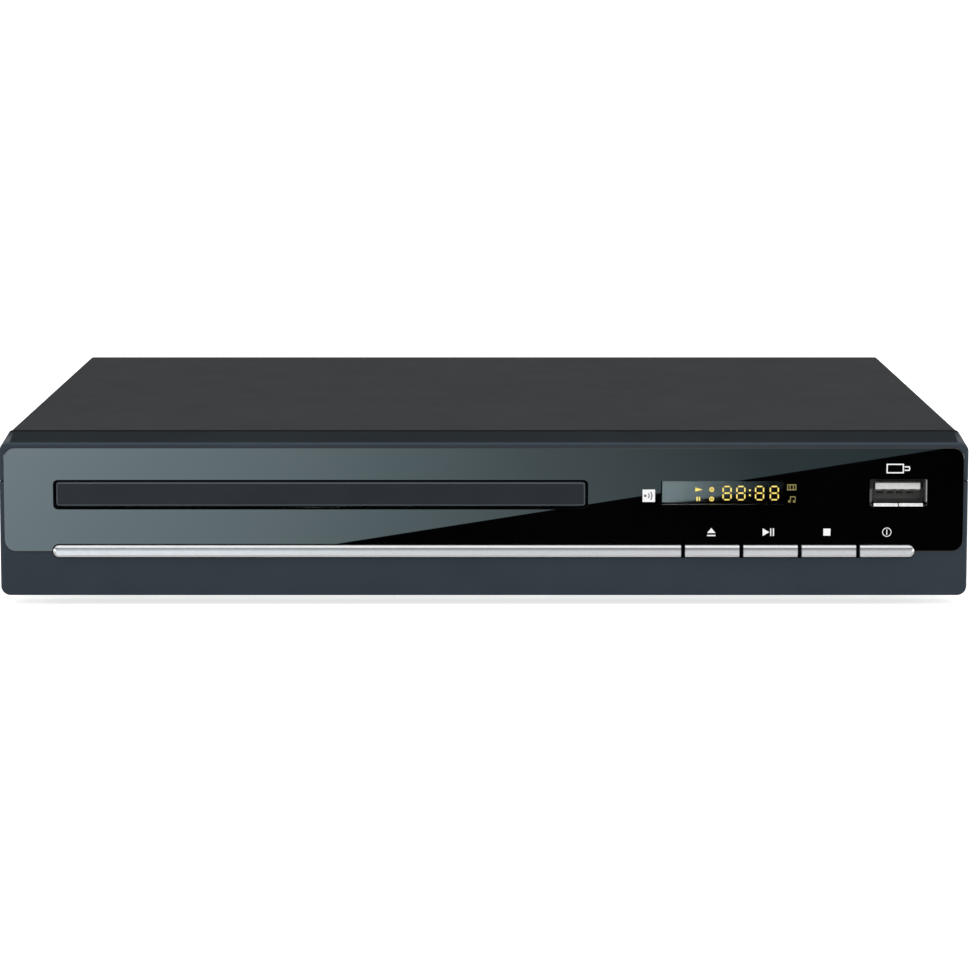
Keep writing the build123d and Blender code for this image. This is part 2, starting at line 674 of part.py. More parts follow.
def make_trim_bar():
    right = KEY_XS[0] - KEY_WIDTH / 2 - KEY_GAP
    bar = whole_bar() & block((-BODY_WIDTH, right), (-BEZEL_DEPTH, BEZEL_DEPTH), (0, LID_TOP))
    for x in peg_xs():
        bar += rod(x, (POCKET_DEPTH, FACE_WALL), BAR_Z, PEG_RADIUS)
    return bar


def make_key(x):
    """One key: its cap, two barbed legs that snap through the front and the nose that presses the switch."""
    cap_x = (x - KEY_WIDTH / 2, x + KEY_WIDTH / 2)
    key = whole_bar() & block(cap_x, (-BEZEL_DEPTH, KEY_BACK), (0, LID_TOP))
    barb = (FACE_WALL + FIT, FACE_WALL + FIT + KEY_BARB_THICK)
    legs = panel(Rectangle(KEY_STEM_WIDTH, KEY_STEM_HEIGHT), x, BAR_Z, (KEY_BACK, barb[1]))
    legs += panel(Rectangle(KEY_STEM_WIDTH + 2 * KEY_BARB, KEY_STEM_HEIGHT), x, BAR_Z, barb)
    gap = Rectangle(KEY_STEM_WIDTH - 2 * KEY_LEG, KEY_STEM_HEIGHT)
    legs -= panel(gap, x, BAR_Z, (KEY_BACK, barb[1]))
    nose_end = SWITCH_FACE + SWITCH_BORE - KEY_TRAVEL - FIT
    return key + legs + rod(x, (KEY_BACK, nose_end), BAR_Z, KEY_NOSE_RADIUS)


def make_key_switches():
    """The push switches on the front board, each with a well for its key's nose."""
    switches = []
    for x in KEY_XS:
        body = panel(Rectangle(SWITCH_SIZE, SWITCH_SIZE), x, BAR_Z, (SWITCH_FACE, FRONT_BOARD_DEPTH))
        switches.append(body - rod(x, (SWITCH_FACE, SWITCH_FACE + SWITCH_BORE), BAR_Z, KEY_NOSE_RADIUS + FIT))
    return together(switches)


def make_front_board():
    x = FRONT_BOARD_X
    board = block(x, (FRONT_BOARD_DEPTH, FRONT_BOARD_DEPTH + BOARD), FRONT_BOARD_Z)
    for hole_x, z in front_board_corners():
        board -= rod(hole_x, (FRONT_BOARD_DEPTH, FRONT_BOARD_DEPTH + BOARD), z, SCREW_HOLE)
    return board


def front_board_screws():
    back = FRONT_BOARD_DEPTH + BOARD
    screws = []
    for x, z in front_board_corners():
        shank = rod(x, (FACE_WALL + FIT, back), z, SCREW_RADIUS)
        screws.append(shank + rod(x, (back, back + SCREW_HEAD), z, SCREW_HEAD_RADIUS))
    return screws


def make_display_module():
    outline = Rectangle(DISPLAY_WIDTH, DISPLAY_MODULE_HEIGHT)
    return panel(outline, DISPLAY_X, DISPLAY_Z, (FRONT_BOARD_DEPTH - DISPLAY_MODULE_DEPTH, FRONT_BOARD_DEPTH))


def make_remote_eye():
    body = panel(Rectangle(EYE_BODY, EYE_BODY), EYE_X, EYE_Z, (FACE_WALL + SEAM, FRONT_BOARD_DEPTH))
    return body + rod(EYE_X, (WINDOW_SEAT + FIT, FACE_WALL + SEAM), EYE_Z, EYE_RADIUS - FIT)


def usb_box(width, height, corner, depth):
    return panel(RectangleRounded(width, height, corner), USB_X, USB_Z, depth)


def usb_flare(inset):
    """The lips of the socket's shell, spread towards the front."""
    corner = USB_METAL * 2
    front = Plane((USB_X, deep(-WINDOW_PROUD - FIT), USB_Z), x_dir=(1, 0, 0), z_dir=(0, -1, 0))
    rear = Plane((USB_X, deep(USB_FLARE), USB_Z), x_dir=(1, 0, 0), z_dir=(0, -1, 0))
    lips = RectangleRounded(USB_LIP_WIDTH - 2 * inset, USB_LIP_HEIGHT - 2 * inset, corner)
    throat = RectangleRounded(USB_WIDTH - 2 * inset, USB_HEIGHT - 2 * inset, corner)
    return loft([front * lips, rear * throat])


def make_usb_shell():
    corner = USB_METAL * 2
    depth = (USB_FLARE, FRONT_BOARD_DEPTH)
    shell = usb_flare(0) + usb_box(USB_WIDTH, USB_HEIGHT, corner, depth)
    inner = (USB_WIDTH - 2 * USB_METAL, USB_HEIGHT - 2 * USB_METAL)
    return shell - usb_flare(USB_METAL) - usb_box(*inner, corner, depth)


def make_usb_tongue():
    """The socket's tongue with its base, and the four contact strips under it."""
    top = USB_Z + USB_HEIGHT / 2 - USB_METAL - USB_METAL
    bottom = top - USB_TONGUE_THICK
    half = USB_TONGUE_WIDTH / 2
    base_front = FRONT_BOARD_DEPTH - BOARD
    tongue = block((USB_X - half, USB_X + half), (USB_TONGUE_SETBACK, FRONT_BOARD_DEPTH), (bottom, top))
    inner = (USB_WIDTH - 2 * USB_METAL, USB_HEIGHT - 2 * USB_METAL)
    pieces = [tongue + usb_box(*inner, USB_METAL * 2, (base_front, FRONT_BOARD_DEPTH))]
    for x in USB_CONTACT_XS:
        strip = (USB_X + x - USB_CONTACT_WIDTH / 2, USB_X + x + USB_CONTACT_WIDTH / 2)
        strip_depth = (USB_TONGUE_SETBACK + USB_METAL, base_front)
        pieces.append(block(strip, strip_depth, (bottom - USB_CONTACT_THICK, bottom)))
    return together(pieces)


def side_screw(side, depth):
    """A lid screw in the left (-1) or right (1) side."""
    outside = LID_WIDTH / 2
    head_x = sorted((side * outside, side * (outside + SHEET_SCREW_HEAD)))
    shank_x = sorted((side * (outside - SHEET_SCREW_LENGTH), side * outside))
    head = axle(head_x, depth, SIDE_SCREW_Z, SHEET_SCREW_HEAD_RADIUS)
    return head + axle(shank_x, depth, SIDE_SCREW_Z, SHEET_SCREW_RADIUS)


def make_top_cover():
    half = LID_WIDTH / 2
    depth = (LID_FRONT, BODY_DEPTH)
    lid = block((-half, half), depth, (LID_BOTTOM, LID_TOP))
    long_edges = lid.edges().filter_by(Axis.Y).sort_by(Axis.Z)[-2:]
    lid = fillet(long_edges, LID_BEND)
    inside = (SHEET - half, half - SHEET)
    lip_z = LID_TOP - SHEET - REAR_LIP
    lid -= block(inside, (LID_FRONT - 1, BODY_DEPTH - SHEET), (LID_BOTTOM - 1, LID_TOP - SHEET))
    lid -= block(inside, (BODY_DEPTH - SHEET, BODY_DEPTH + 1), (LID_BOTTOM - 1, lip_z))
    for depth in SIDE_SCREW_DEPTHS:
        lid -= axle((-BODY_WIDTH, BODY_WIDTH), depth, SIDE_SCREW_Z, SHEET_SCREW_HOLE)
    for x in REAR_SCREW_XS:
        lid -= rod(x, (REAR_INNER, BODY_DEPTH + 1), LID_TOP - SHEET - REAR_LIP / 2, SHEET_SCREW_HOLE)
    slots = []
    for i in range(SIDE_VENT_COUNT):
        y = SIDE_VENT_DEPTH + VENT_PITCH * i
        plane = Plane((0, deep(y), SIDE_VENT_Z), x_dir=(0, 1, 0), z_dir=(1, 0, 0))
        outline = SlotOverall(SIDE_VENT_LENGTH, VENT_WIDTH, rotation=90)
        slots.append(extrude(plane * outline, BODY_WIDTH, both=True))
    return lid - slots


def base_vents():
    """Rows of slots through the chassis floor, under the circuit boards."""
    slots = []
    for i in range(BASE_VENT_COUNT):
        for depth in BASE_VENT_DEPTHS:
            outline = SlotOverall(BASE_VENT_LENGTH, VENT_WIDTH, rotation=90)
            x = BASE_VENT_FIRST_X + VENT_PITCH * i
            slots.append(floor_plate(outline, x, depth, (CHASSIS_HEIGHT - 1, CHASSIS_TOP + 1)))
    return slots


def foot_places():
    """The middles of the four feet, as x and depth."""
    xs = (FOOT_INSET_X - BODY_WIDTH / 2, BODY_WIDTH / 2 - FOOT_INSET_X)
    return [(x, depth) for x in xs for depth in (FOOT_INSET_FRONT, BODY_DEPTH - FOOT_INSET_REAR)]


def ear_places():
    """Where the loader is screwed to the chassis, as x and depth."""
    reach = WALL_OUTER + EAR_RADIUS
    return [(TRAY_X + side * reach, depth) for side in (-1, 1) for depth in EAR_DEPTHS]


def board_holes():
    """Where the two boards are screwed to their pillars, as x and depth."""
    places = []
    for board_x, front in ((MAIN_BOARD_X, MAIN_BOARD_FRONT), (POWER_BOARD_X, POWER_BOARD_FRONT)):
        for x in (board_x[0] + BOARD_MARGIN, board_x[1] - BOARD_MARGIN):
            places += [(x, front + BOARD_MARGIN), (x, BOARD_HOLE_REAR)]
    return places


def make_chassis():
    depth = (LID_FRONT, REAR_INNER)
    plate = block((-CHASSIS_HALF, CHASSIS_HALF), depth, (CHASSIS_HEIGHT, CHASSIS_TOP))
    for side in (-1, 1):
        wall_x = sorted((side * CHASSIS_HALF, side * (CHASSIS_HALF - SHEET)))
        plate += block(wall_x, depth, (CHASSIS_HEIGHT, CHASSIS_HEIGHT + CHASSIS_FLANGE))
    for screw_depth in SIDE_SCREW_DEPTHS:
        plate -= axle((-BODY_WIDTH, BODY_WIDTH), screw_depth, SIDE_SCREW_Z, SHEET_SCREW_HOLE)
    for x, y in foot_places():
        plate -= post(x, y, (0, CHASSIS_TOP + 1), SCREW_HOLE)
    for x in LUG_XS:
        plate -= post(x, BEZEL_DEPTH + LUG_LENGTH / 2, (0, CHASSIS_TOP + 1), SCREW_HOLE)
    for x in REAR_SCREW_XS:
        plate -= post(x, REAR_INNER - REAR_FOOT / 2, (0, CHASSIS_TOP + 1), SCREW_HOLE)
    for x, y in board_holes():
        plate += post(x, y, (CHASSIS_TOP, BOARD_Z), STANDOFF_RADIUS)
        plate -= post(x, y, (CHASSIS_TOP, BOARD_Z), SCREW_RADIUS + FIT / 4)
    for x, y in ear_places():
        plate += post(x, y, (CHASSIS_TOP, FRAME_BOTTOM), EAR_RADIUS)
        plate -= post(x, y, (CHASSIS_HEIGHT, FRAME_BOTTOM), SCREW_RADIUS + FIT / 4)
    return plate - base_vents()


def jack_xs():
    return [JACK_FIRST_X + JACK_PITCH * i for i in range(JACK_COUNT)]


def inlet_outline(radius):
    return SlotOverall(INLET_PIN_PITCH + 2 * radius, 2 * radius)


def make_rear_panel():
    half = CHASSIS_HALF - SHEET - FIT
    depth = (REAR_INNER, REAR_OUTER)
    plate = block((-half, half), depth, (CHASSIS_TOP, LID_TOP - SHEET - FIT))
    plate += block((-half, half), (REAR_INNER - REAR_FOOT, REAR_INNER), (CHASSIS_TOP, CHASSIS_TOP + SHEET))
    for x in jack_xs() + [COAX_X]:
        plate -= rod(x, depth, JACK_Z, JACK_COLLAR + FIT)
    hdmi = Rectangle(HDMI_WIDTH + 2 * FIT, HDMI_HEIGHT + 2 * FIT)
    plate -= panel(hdmi, HDMI_X, BOARD_TOP + HDMI_HEIGHT / 2, depth)
    inlet = Rectangle(INLET_BODY_WIDTH + 2 * FIT, INLET_BODY_HEIGHT + 2 * FIT)
    plate -= panel(inlet, INLET_X, INLET_Z, depth)
    for x in REAR_SCREW_XS:
        plate -= rod(x, depth, LID_TOP - SHEET - REAR_LIP / 2, SHEET_SCREW_HOLE)
        plate -= post(x, REAR_INNER - REAR_FOOT / 2, (CHASSIS_TOP, CHASSIS_TOP + SHEET), SCREW_HOLE)
    return plate


def make_lid_screws():
    screws = [side_screw(side, depth) for side in (-1, 1) for depth in SIDE_SCREW_DEPTHS]
    z = LID_TOP - SHEET - REAR_LIP / 2
    for x in REAR_SCREW_XS:
        head = rod(x, (BODY_DEPTH, BODY_DEPTH + SHEET_SCREW_HEAD), z, SHEET_SCREW_HEAD_RADIUS)
        screws.append(head + rod(x, (BODY_DEPTH - SHEET_SCREW_LENGTH, BODY_DEPTH), z, SHEET_SCREW_RADIUS))
    return together(screws)


def floor_screw(x, depth, top):
    """A screw that comes up through the chassis floor."""
    head = post(x, depth, (CHASSIS_HEIGHT - SCREW_HEAD, CHASSIS_HEIGHT), SCREW_HEAD_RADIUS)
    return head + post(x, depth, (CHASSIS_HEIGHT, top), SCREW_RADIUS)


def floor_screws():
    lug_depth = BEZEL_DEPTH + LUG_LENGTH / 2
    screws = [floor_screw(x, lug_depth, CHASSIS_TOP + LUG_THICK) for x in LUG_XS]
    foot_depth = REAR_INNER - REAR_FOOT / 2
    screws += [floor_screw(x, foot_depth, CHASSIS_TOP + LUG_THICK) for x in REAR_SCREW_XS]
    return screws


def make_feet():
    """Rubber feet, each with a stalk and barb that push into the chassis floor."""
    feet = []
    for x, depth in foot_places():
        foot = cone(x, depth, (0, CHASSIS_HEIGHT), FOOT_RADIUS, FOOT_TOP_RADIUS)
        foot += post(x, depth, (CHASSIS_HEIGHT, CHASSIS_TOP + SHEET), SCREW_HOLE - FIT / 2)
        foot += cone(x, depth, (CHASSIS_TOP + FIT, FRAME_BOTTOM - FIT), SCREW_HOLE + FIT, SCREW_HOLE - FIT)
        feet.append(foot - post(x, depth, (0, FOOT_DISH), FOOT_DISH_RADIUS))
    return together(feet)


def make_jack_block():
    """The moulded housings of the phono sockets, with collars that pass through the rear panel."""
    bottom = BOARD_TOP
    first, last = jack_xs()[0] - JACK_PITCH / 2, jack_xs()[-1] + JACK_PITCH / 2
    depth = (REAR_INNER - JACK_BLOCK_DEPTH, REAR_INNER)
    top = bottom + JACK_BLOCK_HEIGHT + (JACK_Z - bottom - JACK_BLOCK_HEIGHT / 2)
    blocks = [block((first, last), depth, (bottom, top))]
    blocks.append(block((COAX_X - JACK_PITCH / 2, COAX_X + JACK_PITCH / 2), depth, (bottom, top)))
    for i, xs in enumerate((jack_xs(), [COAX_X])):
        for x in xs:
            blocks[i] += rod(x, (REAR_INNER, BODY_DEPTH), JACK_Z, JACK_COLLAR)
    return together(blocks)


def make_jack_sleeves():
    depth = (BODY_DEPTH, BODY_DEPTH + JACK_REACH)
    bore = JACK_RADIUS - JACK_WALL
    sleeves = []
    for x in jack_xs() + [COAX_X]:
        sleeves.append(rod(x, depth, JACK_Z, JACK_RADIUS) - rod(x, depth, JACK_Z, bore))
    return together(sleeves)


def make_jack_inserts():
    """The coloured insulators inside the sleeves."""
    depth = (BODY_DEPTH, BODY_DEPTH + JACK_REACH - SEAM * 2)
    radius = JACK_RADIUS - JACK_WALL
    places = jack_xs() + [COAX_X]
    return together([rod(x, depth, JACK_Z, radius) - rod(x, depth, JACK_Z, JACK_BORE) for x in places])


def hdmi_outline(inset):
    """The socket's outline: a rectangle with its two lower corners cut off."""
    half, tall = HDMI_WIDTH / 2 - inset, HDMI_HEIGHT / 2 - inset
    cut = HDMI_HEIGHT / 3
    right = [(half, tall), (half, cut - tall), (half - cut, -tall)]
    left = [(-x, z) for x, z in reversed(right)]
    return make_face(Polyline(*right, *left, close=True))


def make_hdmi_socket():
    """The digital video socket: its metal shell, and the tongue and back inside."""
    z = BOARD_TOP + HDMI_HEIGHT / 2
    front = BODY_DEPTH - HDMI_DEPTH
    shell = panel(hdmi_outline(0), HDMI_X, z, (front, BODY_DEPTH + FIT))
    shell -= panel(hdmi_outline(HDMI_METAL), HDMI_X, z, (front, BODY_DEPTH + FIT))
    tongue = panel(Rectangle(HDMI_TONGUE_WIDTH, HDMI_TONGUE_THICK), HDMI_X, z, (front, BODY_DEPTH - 1))
    back = panel(hdmi_outline(HDMI_METAL), HDMI_X, z, (front, front + 1))
    return together([shell, tongue + back])


def inlet_pin(side):
    """One pin, from the well through the body to a tag that stands on the board."""
    x = INLET_X + side * INLET_PIN_PITCH / 2
    rear = REAR_OUTER - INLET_BODY_DEPTH
    tip = REAR_OUTER + INLET_FLANGE_THICK - INLET_PIN_SETBACK
    pin = rod(x, (rear - INLET_TAG, tip), INLET_Z, INLET_PIN_RADIUS)
    return pin + post(x, rear - INLET_TAG + INLET_PIN_RADIUS, (BOARD_TOP, INLET_Z), INLET_PIN_RADIUS)


def make_mains_inlet():
    """A two-pin inlet: flange outside, body inside and a well for the lead's connector."""
    face = REAR_OUTER + INLET_FLANGE_THICK
    flange = RectangleRounded(INLET_FLANGE_WIDTH, INLET_FLANGE_HEIGHT, 1)
    body = panel(flange, INLET_X, INLET_Z, (REAR_OUTER, face))
    box = Rectangle(INLET_BODY_WIDTH, INLET_BODY_HEIGHT)
    body += panel(box, INLET_X, INLET_Z, (REAR_OUTER - INLET_BODY_DEPTH, REAR_OUTER))
    body -= panel(inlet_outline(INLET_WELL_RADIUS), INLET_X, INLET_Z, (face - INLET_WELL_DEPTH, face))
    return body - inlet_pin(-1) - inlet_pin(1)


def make_inlet_pins():
    return together([inlet_pin(-1), inlet_pin(1)])


def make_tray():
    """The disc tray: two wells, a slot for the turntable and pickup, side rails and a rack on the right."""
    length = TRAY_REAR - DOOR_THICK
    middle = DOOR_THICK + length / 2
    slab = floor_plate(Rectangle(TRAY_WIDTH, length), TRAY_X, middle, (TRAY_BOTTOM, TRAY_TOP))
    slab = fillet(slab.edges().filter_by(Axis.Z).sort_by(Axis.Y)[-2:], TRAY_CORNER)
    inner = (TRAY_X - TRAY_HALF + TRAY_RAIL, TRAY_X + TRAY_HALF - TRAY_RAIL)
    slab -= block(inner, (DOOR_THICK + TRAY_RAIL, TRAY_REAR + 1), (TRAY_BOTTOM - 1, FLOOR_Z))
    slab -= post(TRAY_X, DISC_DEPTH, (WELL_Z, TRAY_TOP + 1), DISC_WELL_RADIUS)
    slab -= post(TRAY_X, DISC_DEPTH, (SMALL_WELL_Z, TRAY_TOP + 1), SMALL_WELL_RADIUS)
    across = DISC_WELL_RADIUS * math.sin(math.radians(FINGER_ANGLE))
    finger_depth = DISC_DEPTH + DISC_WELL_RADIUS * math.cos(math.radians(FINGER_ANGLE))
    for side in (-1, 1):
        slab -= post(TRAY_X + side * across, finger_depth, (WELL_Z, TRAY_TOP + 1), FINGER_RADIUS)
    pocket = (TRAY_X - TRAY_HALF + 2 * TRAY_RAIL, TRAY_X + TRAY_HALF - 2 * TRAY_RAIL)
    rear_pocket = (DISC_DEPTH + DISC_WELL_RADIUS + 2 * TRAY_RAIL, TRAY_REAR - 2 * TRAY_RAIL)
    slab -= block(pocket, rear_pocket, (WELL_Z, TRAY_TOP + 1))
    slot_front = DISC_DEPTH - TRAY_SLOT_WIDTH / 2
    slot = SlotOverall(TRAY_SLOT_REAR - slot_front, TRAY_SLOT_WIDTH, rotation=90)
    slab -= floor_plate(slot, TRAY_X, (slot_front + TRAY_SLOT_REAR) / 2, (0, LID_TOP))
    relief_x = (TRAY_GEAR_X - RACK_GEAR_RADIUS - RACK_MODULE - FIT, RACK_ROOT_X)
    relief_top = TRAY_BOTTOM + RACK_HEIGHT + FIT
    slab -= block(relief_x, (DOOR_THICK + TRAY_RAIL, TRAY_REAR + 1), (TRAY_BOTTOM - 1, relief_top))
    return slab + rack_teeth(relief_top)


def rack_teeth(top):
    """Teeth along the inner face of the tray's right rail, with a gap where the tray gear's tooth stands."""
    pitch = math.pi * RACK_MODULE
    tip_x = RACK_PITCH_X - STUB * RACK_MODULE
    slope = math.tan(math.radians(PRESSURE_ANGLE))
    half = pitch / 4 - BACKLASH / 2
    tip_half = half - STUB * RACK_MODULE * slope
    root_half = half + ROOT * RACK_MODULE * slope
    first = math.ceil((DOOR_THICK + 2 * TRAY_RAIL - GEAR_DEPTH) / pitch)
    last = math.floor((TRAY_REAR - 2 * TRAY_RAIL - GEAR_DEPTH) / pitch)
    teeth = []
    for i in range(first, last):
        y = deep(GEAR_DEPTH) + pitch * (i + 0.5)
        near = [(RACK_ROOT_X, y - root_half), (tip_x, y - tip_half)]
        far = [(tip_x, y + tip_half), (RACK_ROOT_X, y + root_half)]
        outline = make_face(Polyline(*near, *far, close=True))
        teeth.append(extrude(Pos(0, 0, TRAY_BOTTOM) * outline, top - TRAY_BOTTOM))
    return teeth


def gear_outline(module, teeth, phase):
    """An involute gear's outline with stub teeth, one of them pointing at the phase angle in degrees."""
    pitch_radius = module * teeth / 2
    base = pitch_radius * math.cos(math.radians(PRESSURE_ANGLE))
    tip = pitch_radius + STUB * module
    root = pitch_radius - ROOT * module
    half_angle = (math.pi * module / 4 - BACKLASH / 4) / pitch_radius

    def flank_angle(radius):
        """The half angle of a tooth at a radius, from the involute of the base circle."""
        def involute(r):
            pressure = math.acos(min(1.0, base / r))
            return math.tan(pressure) - pressure
        return half_angle + involute(pitch_radius) - involute(max(radius, base))

    steps = 5
    radii = [max(root, base) + (tip - max(root, base)) * i / (steps - 1) for i in range(steps)]
    points = []
    for tooth in range(teeth):
        middle = math.radians(phase) + 2 * math.pi * tooth / teeth
        rising = [(root, -flank_angle(root))] + [(r, -flank_angle(r)) for r in radii]
        falling = [(r, flank_angle(r)) for r in reversed(radii)] + [(root, flank_angle(root))]
        points += [(r * math.cos(middle + a), r * math.sin(middle + a)) for r, a in rising + falling]
    kept = [p for i, p in enumerate(points) if math.dist(p, points[i - 1]) > 1e-4]
    return make_face(Polyline(*kept, close=True))


def make_tray_gear():
    """The tray gear: a wide wheel on the deck, a hub and the small wheel that meets the rack."""
    wheel_top = GEAR_BOTTOM + GEAR_THICK
    rack_z = (TRAY_BOTTOM + FIT, TRAY_BOTTOM + RACK_HEIGHT)
    wheel = gear_outline(GEAR_MODULE, TRAY_GEAR_TEETH, 180)
    gear = floor_plate(wheel, TRAY_GEAR_X, GEAR_DEPTH, (GEAR_BOTTOM, wheel_top))
    gear += post(TRAY_GEAR_X, GEAR_DEPTH, (wheel_top, rack_z[0]), HUB_RADIUS)
    gear += floor_plate(gear_outline(RACK_MODULE, RACK_TEETH, 0), TRAY_GEAR_X, GEAR_DEPTH, rack_z)
    return gear - post(TRAY_GEAR_X, GEAR_DEPTH, (0, rack_z[0]), SHAFT_RADIUS + SHAFT_PLAY)


def make_pulley_gear():
    """The pulley under the deck and its small gear above, joined through the deck."""
    half_tooth = 180 / PULLEY_GEAR_TEETH
    gear_z = (GEAR_BOTTOM, GEAR_BOTTOM + GEAR_THICK)
    outline = gear_outline(GEAR_MODULE, PULLEY_GEAR_TEETH, half_tooth)
    gear = floor_plate(outline, PULLEY_GEAR_X, GEAR_DEPTH, gear_z)
    gear += post(PULLEY_GEAR_X, GEAR_DEPTH, (PULLEY_TOP, GEAR_BOTTOM), SHAFT_RADIUS * 2)
    pulley_z = (PULLEY_TOP - PULLEY_THICK, PULLEY_TOP)
    return gear + grooved_wheel(PULLEY_GEAR_X, PULLEY_RADIUS, pulley_z)


def grooved_wheel(x, radius, z):
    """A pulley whose groove carries the belt's middle at the given radius."""
    wheel = post(x, GEAR_DEPTH, z, radius + PULLEY_RIM)
    groove_z = (sum(z) / 2 - BELT_THICK / 2 - FIT / 2, sum(z) / 2 + BELT_THICK / 2 + FIT / 2)
    groove = post(x, GEAR_DEPTH, groove_z, radius + PULLEY_RIM + 1)
    return wheel - (groove - post(x, GEAR_DEPTH, groove_z, radius - BELT_THICK / 2 - FIT / 4))


def make_motor_pulley():
    z = (PULLEY_TOP - PULLEY_THICK, PULLEY_TOP)
    wheel = grooved_wheel(MOTOR_X, MOTOR_PULLEY_RADIUS, z)
    return wheel + post(MOTOR_X, GEAR_DEPTH, (PULLEY_TOP, DECK_TOP), MOTOR_SHAFT_RADIUS)


def make_drive_belt():
    """A rubber belt of square section round both pulleys."""
    z = PULLEY_TOP - PULLEY_THICK / 2
    outer = belt_loop(BELT_THICK / 2)
    inner = belt_loop(-BELT_THICK / 2)
    ring = Pos(0, 0, z - BELT_THICK / 2) * (outer - inner)
    return extrude(ring, BELT_THICK)


def belt_loop(offset):
    """The area inside the belt's line moved outwards by an offset."""
    large, small = PULLEY_RADIUS + offset, MOTOR_PULLEY_RADIUS + offset
    y = deep(GEAR_DEPTH)
    lean = math.asin((PULLEY_RADIUS - MOTOR_PULLEY_RADIUS) / MOTOR_SPAN)
    rise, run = math.cos(lean), math.sin(lean)
    upper_large = (PULLEY_GEAR_X - large * run, y + large * rise)
    lower_large = (PULLEY_GEAR_X - large * run, y - large * rise)
    upper_small = (MOTOR_X - small * run, y + small * rise)
    lower_small = (MOTOR_X - small * run, y - small * rise)
    loop = [
        ThreePointArc(upper_large, (PULLEY_GEAR_X + large, y), lower_large),
        Line(lower_large, lower_small),
        ThreePointArc(lower_small, (MOTOR_X - small, y), upper_small),
        Line(upper_small, upper_large),
    ]
    return make_face(loop)


def make_loading_motor():
    can_z = (DECK_TOP, DECK_TOP + MOTOR_HEIGHT)
    motor = post(MOTOR_X, GEAR_DEPTH, can_z, MOTOR_RADIUS)
    motor = fillet(motor.edges().filter_by(GeomType.CIRCLE).sort_by(Axis.Z)[-1], 1)
    motor += post(MOTOR_X, GEAR_DEPTH, (DECK_HEIGHT + FIT, DECK_TOP), MOTOR_NECK_RADIUS)
    return motor - post(MOTOR_X, GEAR_DEPTH, (DECK_HEIGHT, DECK_TOP), MOTOR_SHAFT_RADIUS + SHAFT_PLAY)


def frame_x(side, inner, outer):
    """A low and high x from two distances to one side of the tray's middle."""
    return sorted((TRAY_X + side * inner, TRAY_X + side * outer))


def frame_side(side):
    """One side of the loader: wall, ledge, rim, hooks over the tray's rail and the pivot's ear."""
    depth = (FRAME_FRONT, FRAME_REAR)
    rim_z = (FRAME_BOTTOM, FRAME_BOTTOM + RIM_THICK)
    hook_z = (TRAY_TOP + TRAY_PLAY, TRAY_TOP + TRAY_PLAY + HOOK_THICK)
    wall = block(frame_x(side, WALL_INNER, WALL_OUTER), depth, (FRAME_BOTTOM, FRAME_TOP))
    ledge_x = frame_x(side, WALL_INNER - LEDGE_WIDTH, WALL_INNER)
    wall += block(ledge_x, depth, (LEDGE_TOP - LEDGE_THICK, LEDGE_TOP))
    wall += block(frame_x(side, WALL_INNER - RIM_WIDTH, WALL_INNER), depth, rim_z)
    for middle in HOOK_DEPTHS:
        hook_depth = (middle - HOOK_LENGTH / 2, middle + HOOK_LENGTH / 2)
        wall += block(frame_x(side, WALL_INNER - HOOK_REACH, WALL_INNER), hook_depth, hook_z)
    ear_x = frame_x(side, LIFT_HALF_WIDTH + FIT, LIFT_HALF_WIDTH + FIT + PIVOT_EAR)
    ear_depth = (PIVOT_DEPTH - PIVOT_RADIUS * 2.5, FRAME_REAR - FRAME_WALL)
    return wall + block(ear_x, ear_depth, (FRAME_BOTTOM, PIVOT_HEIGHT + PIVOT_RADIUS * 2))


def make_loader_frame():
    """The loader's moulded base: two sides, the gear deck in front and a cross wall behind."""
    across = frame_x(1, -WALL_INNER, WALL_INNER)
    rear_depth = (FRAME_REAR - FRAME_WALL, FRAME_REAR)
    rim_z = (FRAME_BOTTOM, FRAME_BOTTOM + RIM_THICK)
    frame = block(across, (FRAME_FRONT, DECK_REAR), (DECK_HEIGHT, DECK_TOP))
    frame += block(across, rear_depth, (FRAME_BOTTOM, FLOOR_Z - SEAM * 2))
    frame += frame_side(-1)
    frame += frame_side(1)
    frame -= axle(across, PIVOT_DEPTH, PIVOT_HEIGHT, PIVOT_RADIUS + PIVOT_PLAY)
    for x, depth in ear_places():
        inward = x - math.copysign(EAR_RADIUS, x - TRAY_X)
        frame += post(x, depth, rim_z, EAR_RADIUS)
        frame += block(sorted((x, inward)), (depth - EAR_RADIUS, depth + EAR_RADIUS), rim_z)
        frame -= post(x, depth, rim_z, SCREW_HOLE)
    wheel_tip = GEAR_MODULE * (TRAY_GEAR_TEETH / 2 + STUB)
    frame -= post(TRAY_GEAR_X, GEAR_DEPTH, (DECK_TOP, GEAR_BOTTOM + GEAR_THICK + SEAM), wheel_tip + SEAM * 2)
    frame += post(TRAY_GEAR_X, GEAR_DEPTH, (DECK_TOP, TRAY_BOTTOM - SEAM), SHAFT_RADIUS)
    frame -= post(PULLEY_GEAR_X, GEAR_DEPTH, (DECK_HEIGHT, DECK_TOP), SHAFT_RADIUS * 2 + SHAFT_PLAY)
    frame -= post(MOTOR_X, GEAR_DEPTH, (DECK_HEIGHT, DECK_TOP), MOTOR_NECK_RADIUS + SHAFT_PLAY)
    return frame


def loader_screws():
    screws = []
    for x, depth in ear_places():
        top = FRAME_BOTTOM + RIM_THICK
        head = post(x, depth, (top, top + SCREW_HEAD), SCREW_HEAD_RADIUS)
        screws.append(head + post(x, depth, (CHASSIS_HEIGHT, top), SCREW_RADIUS))
    return screws


def bridge_limits():
    return (DISC_DEPTH - BRIDGE_LENGTH / 2, DISC_DEPTH + BRIDGE_LENGTH / 2)


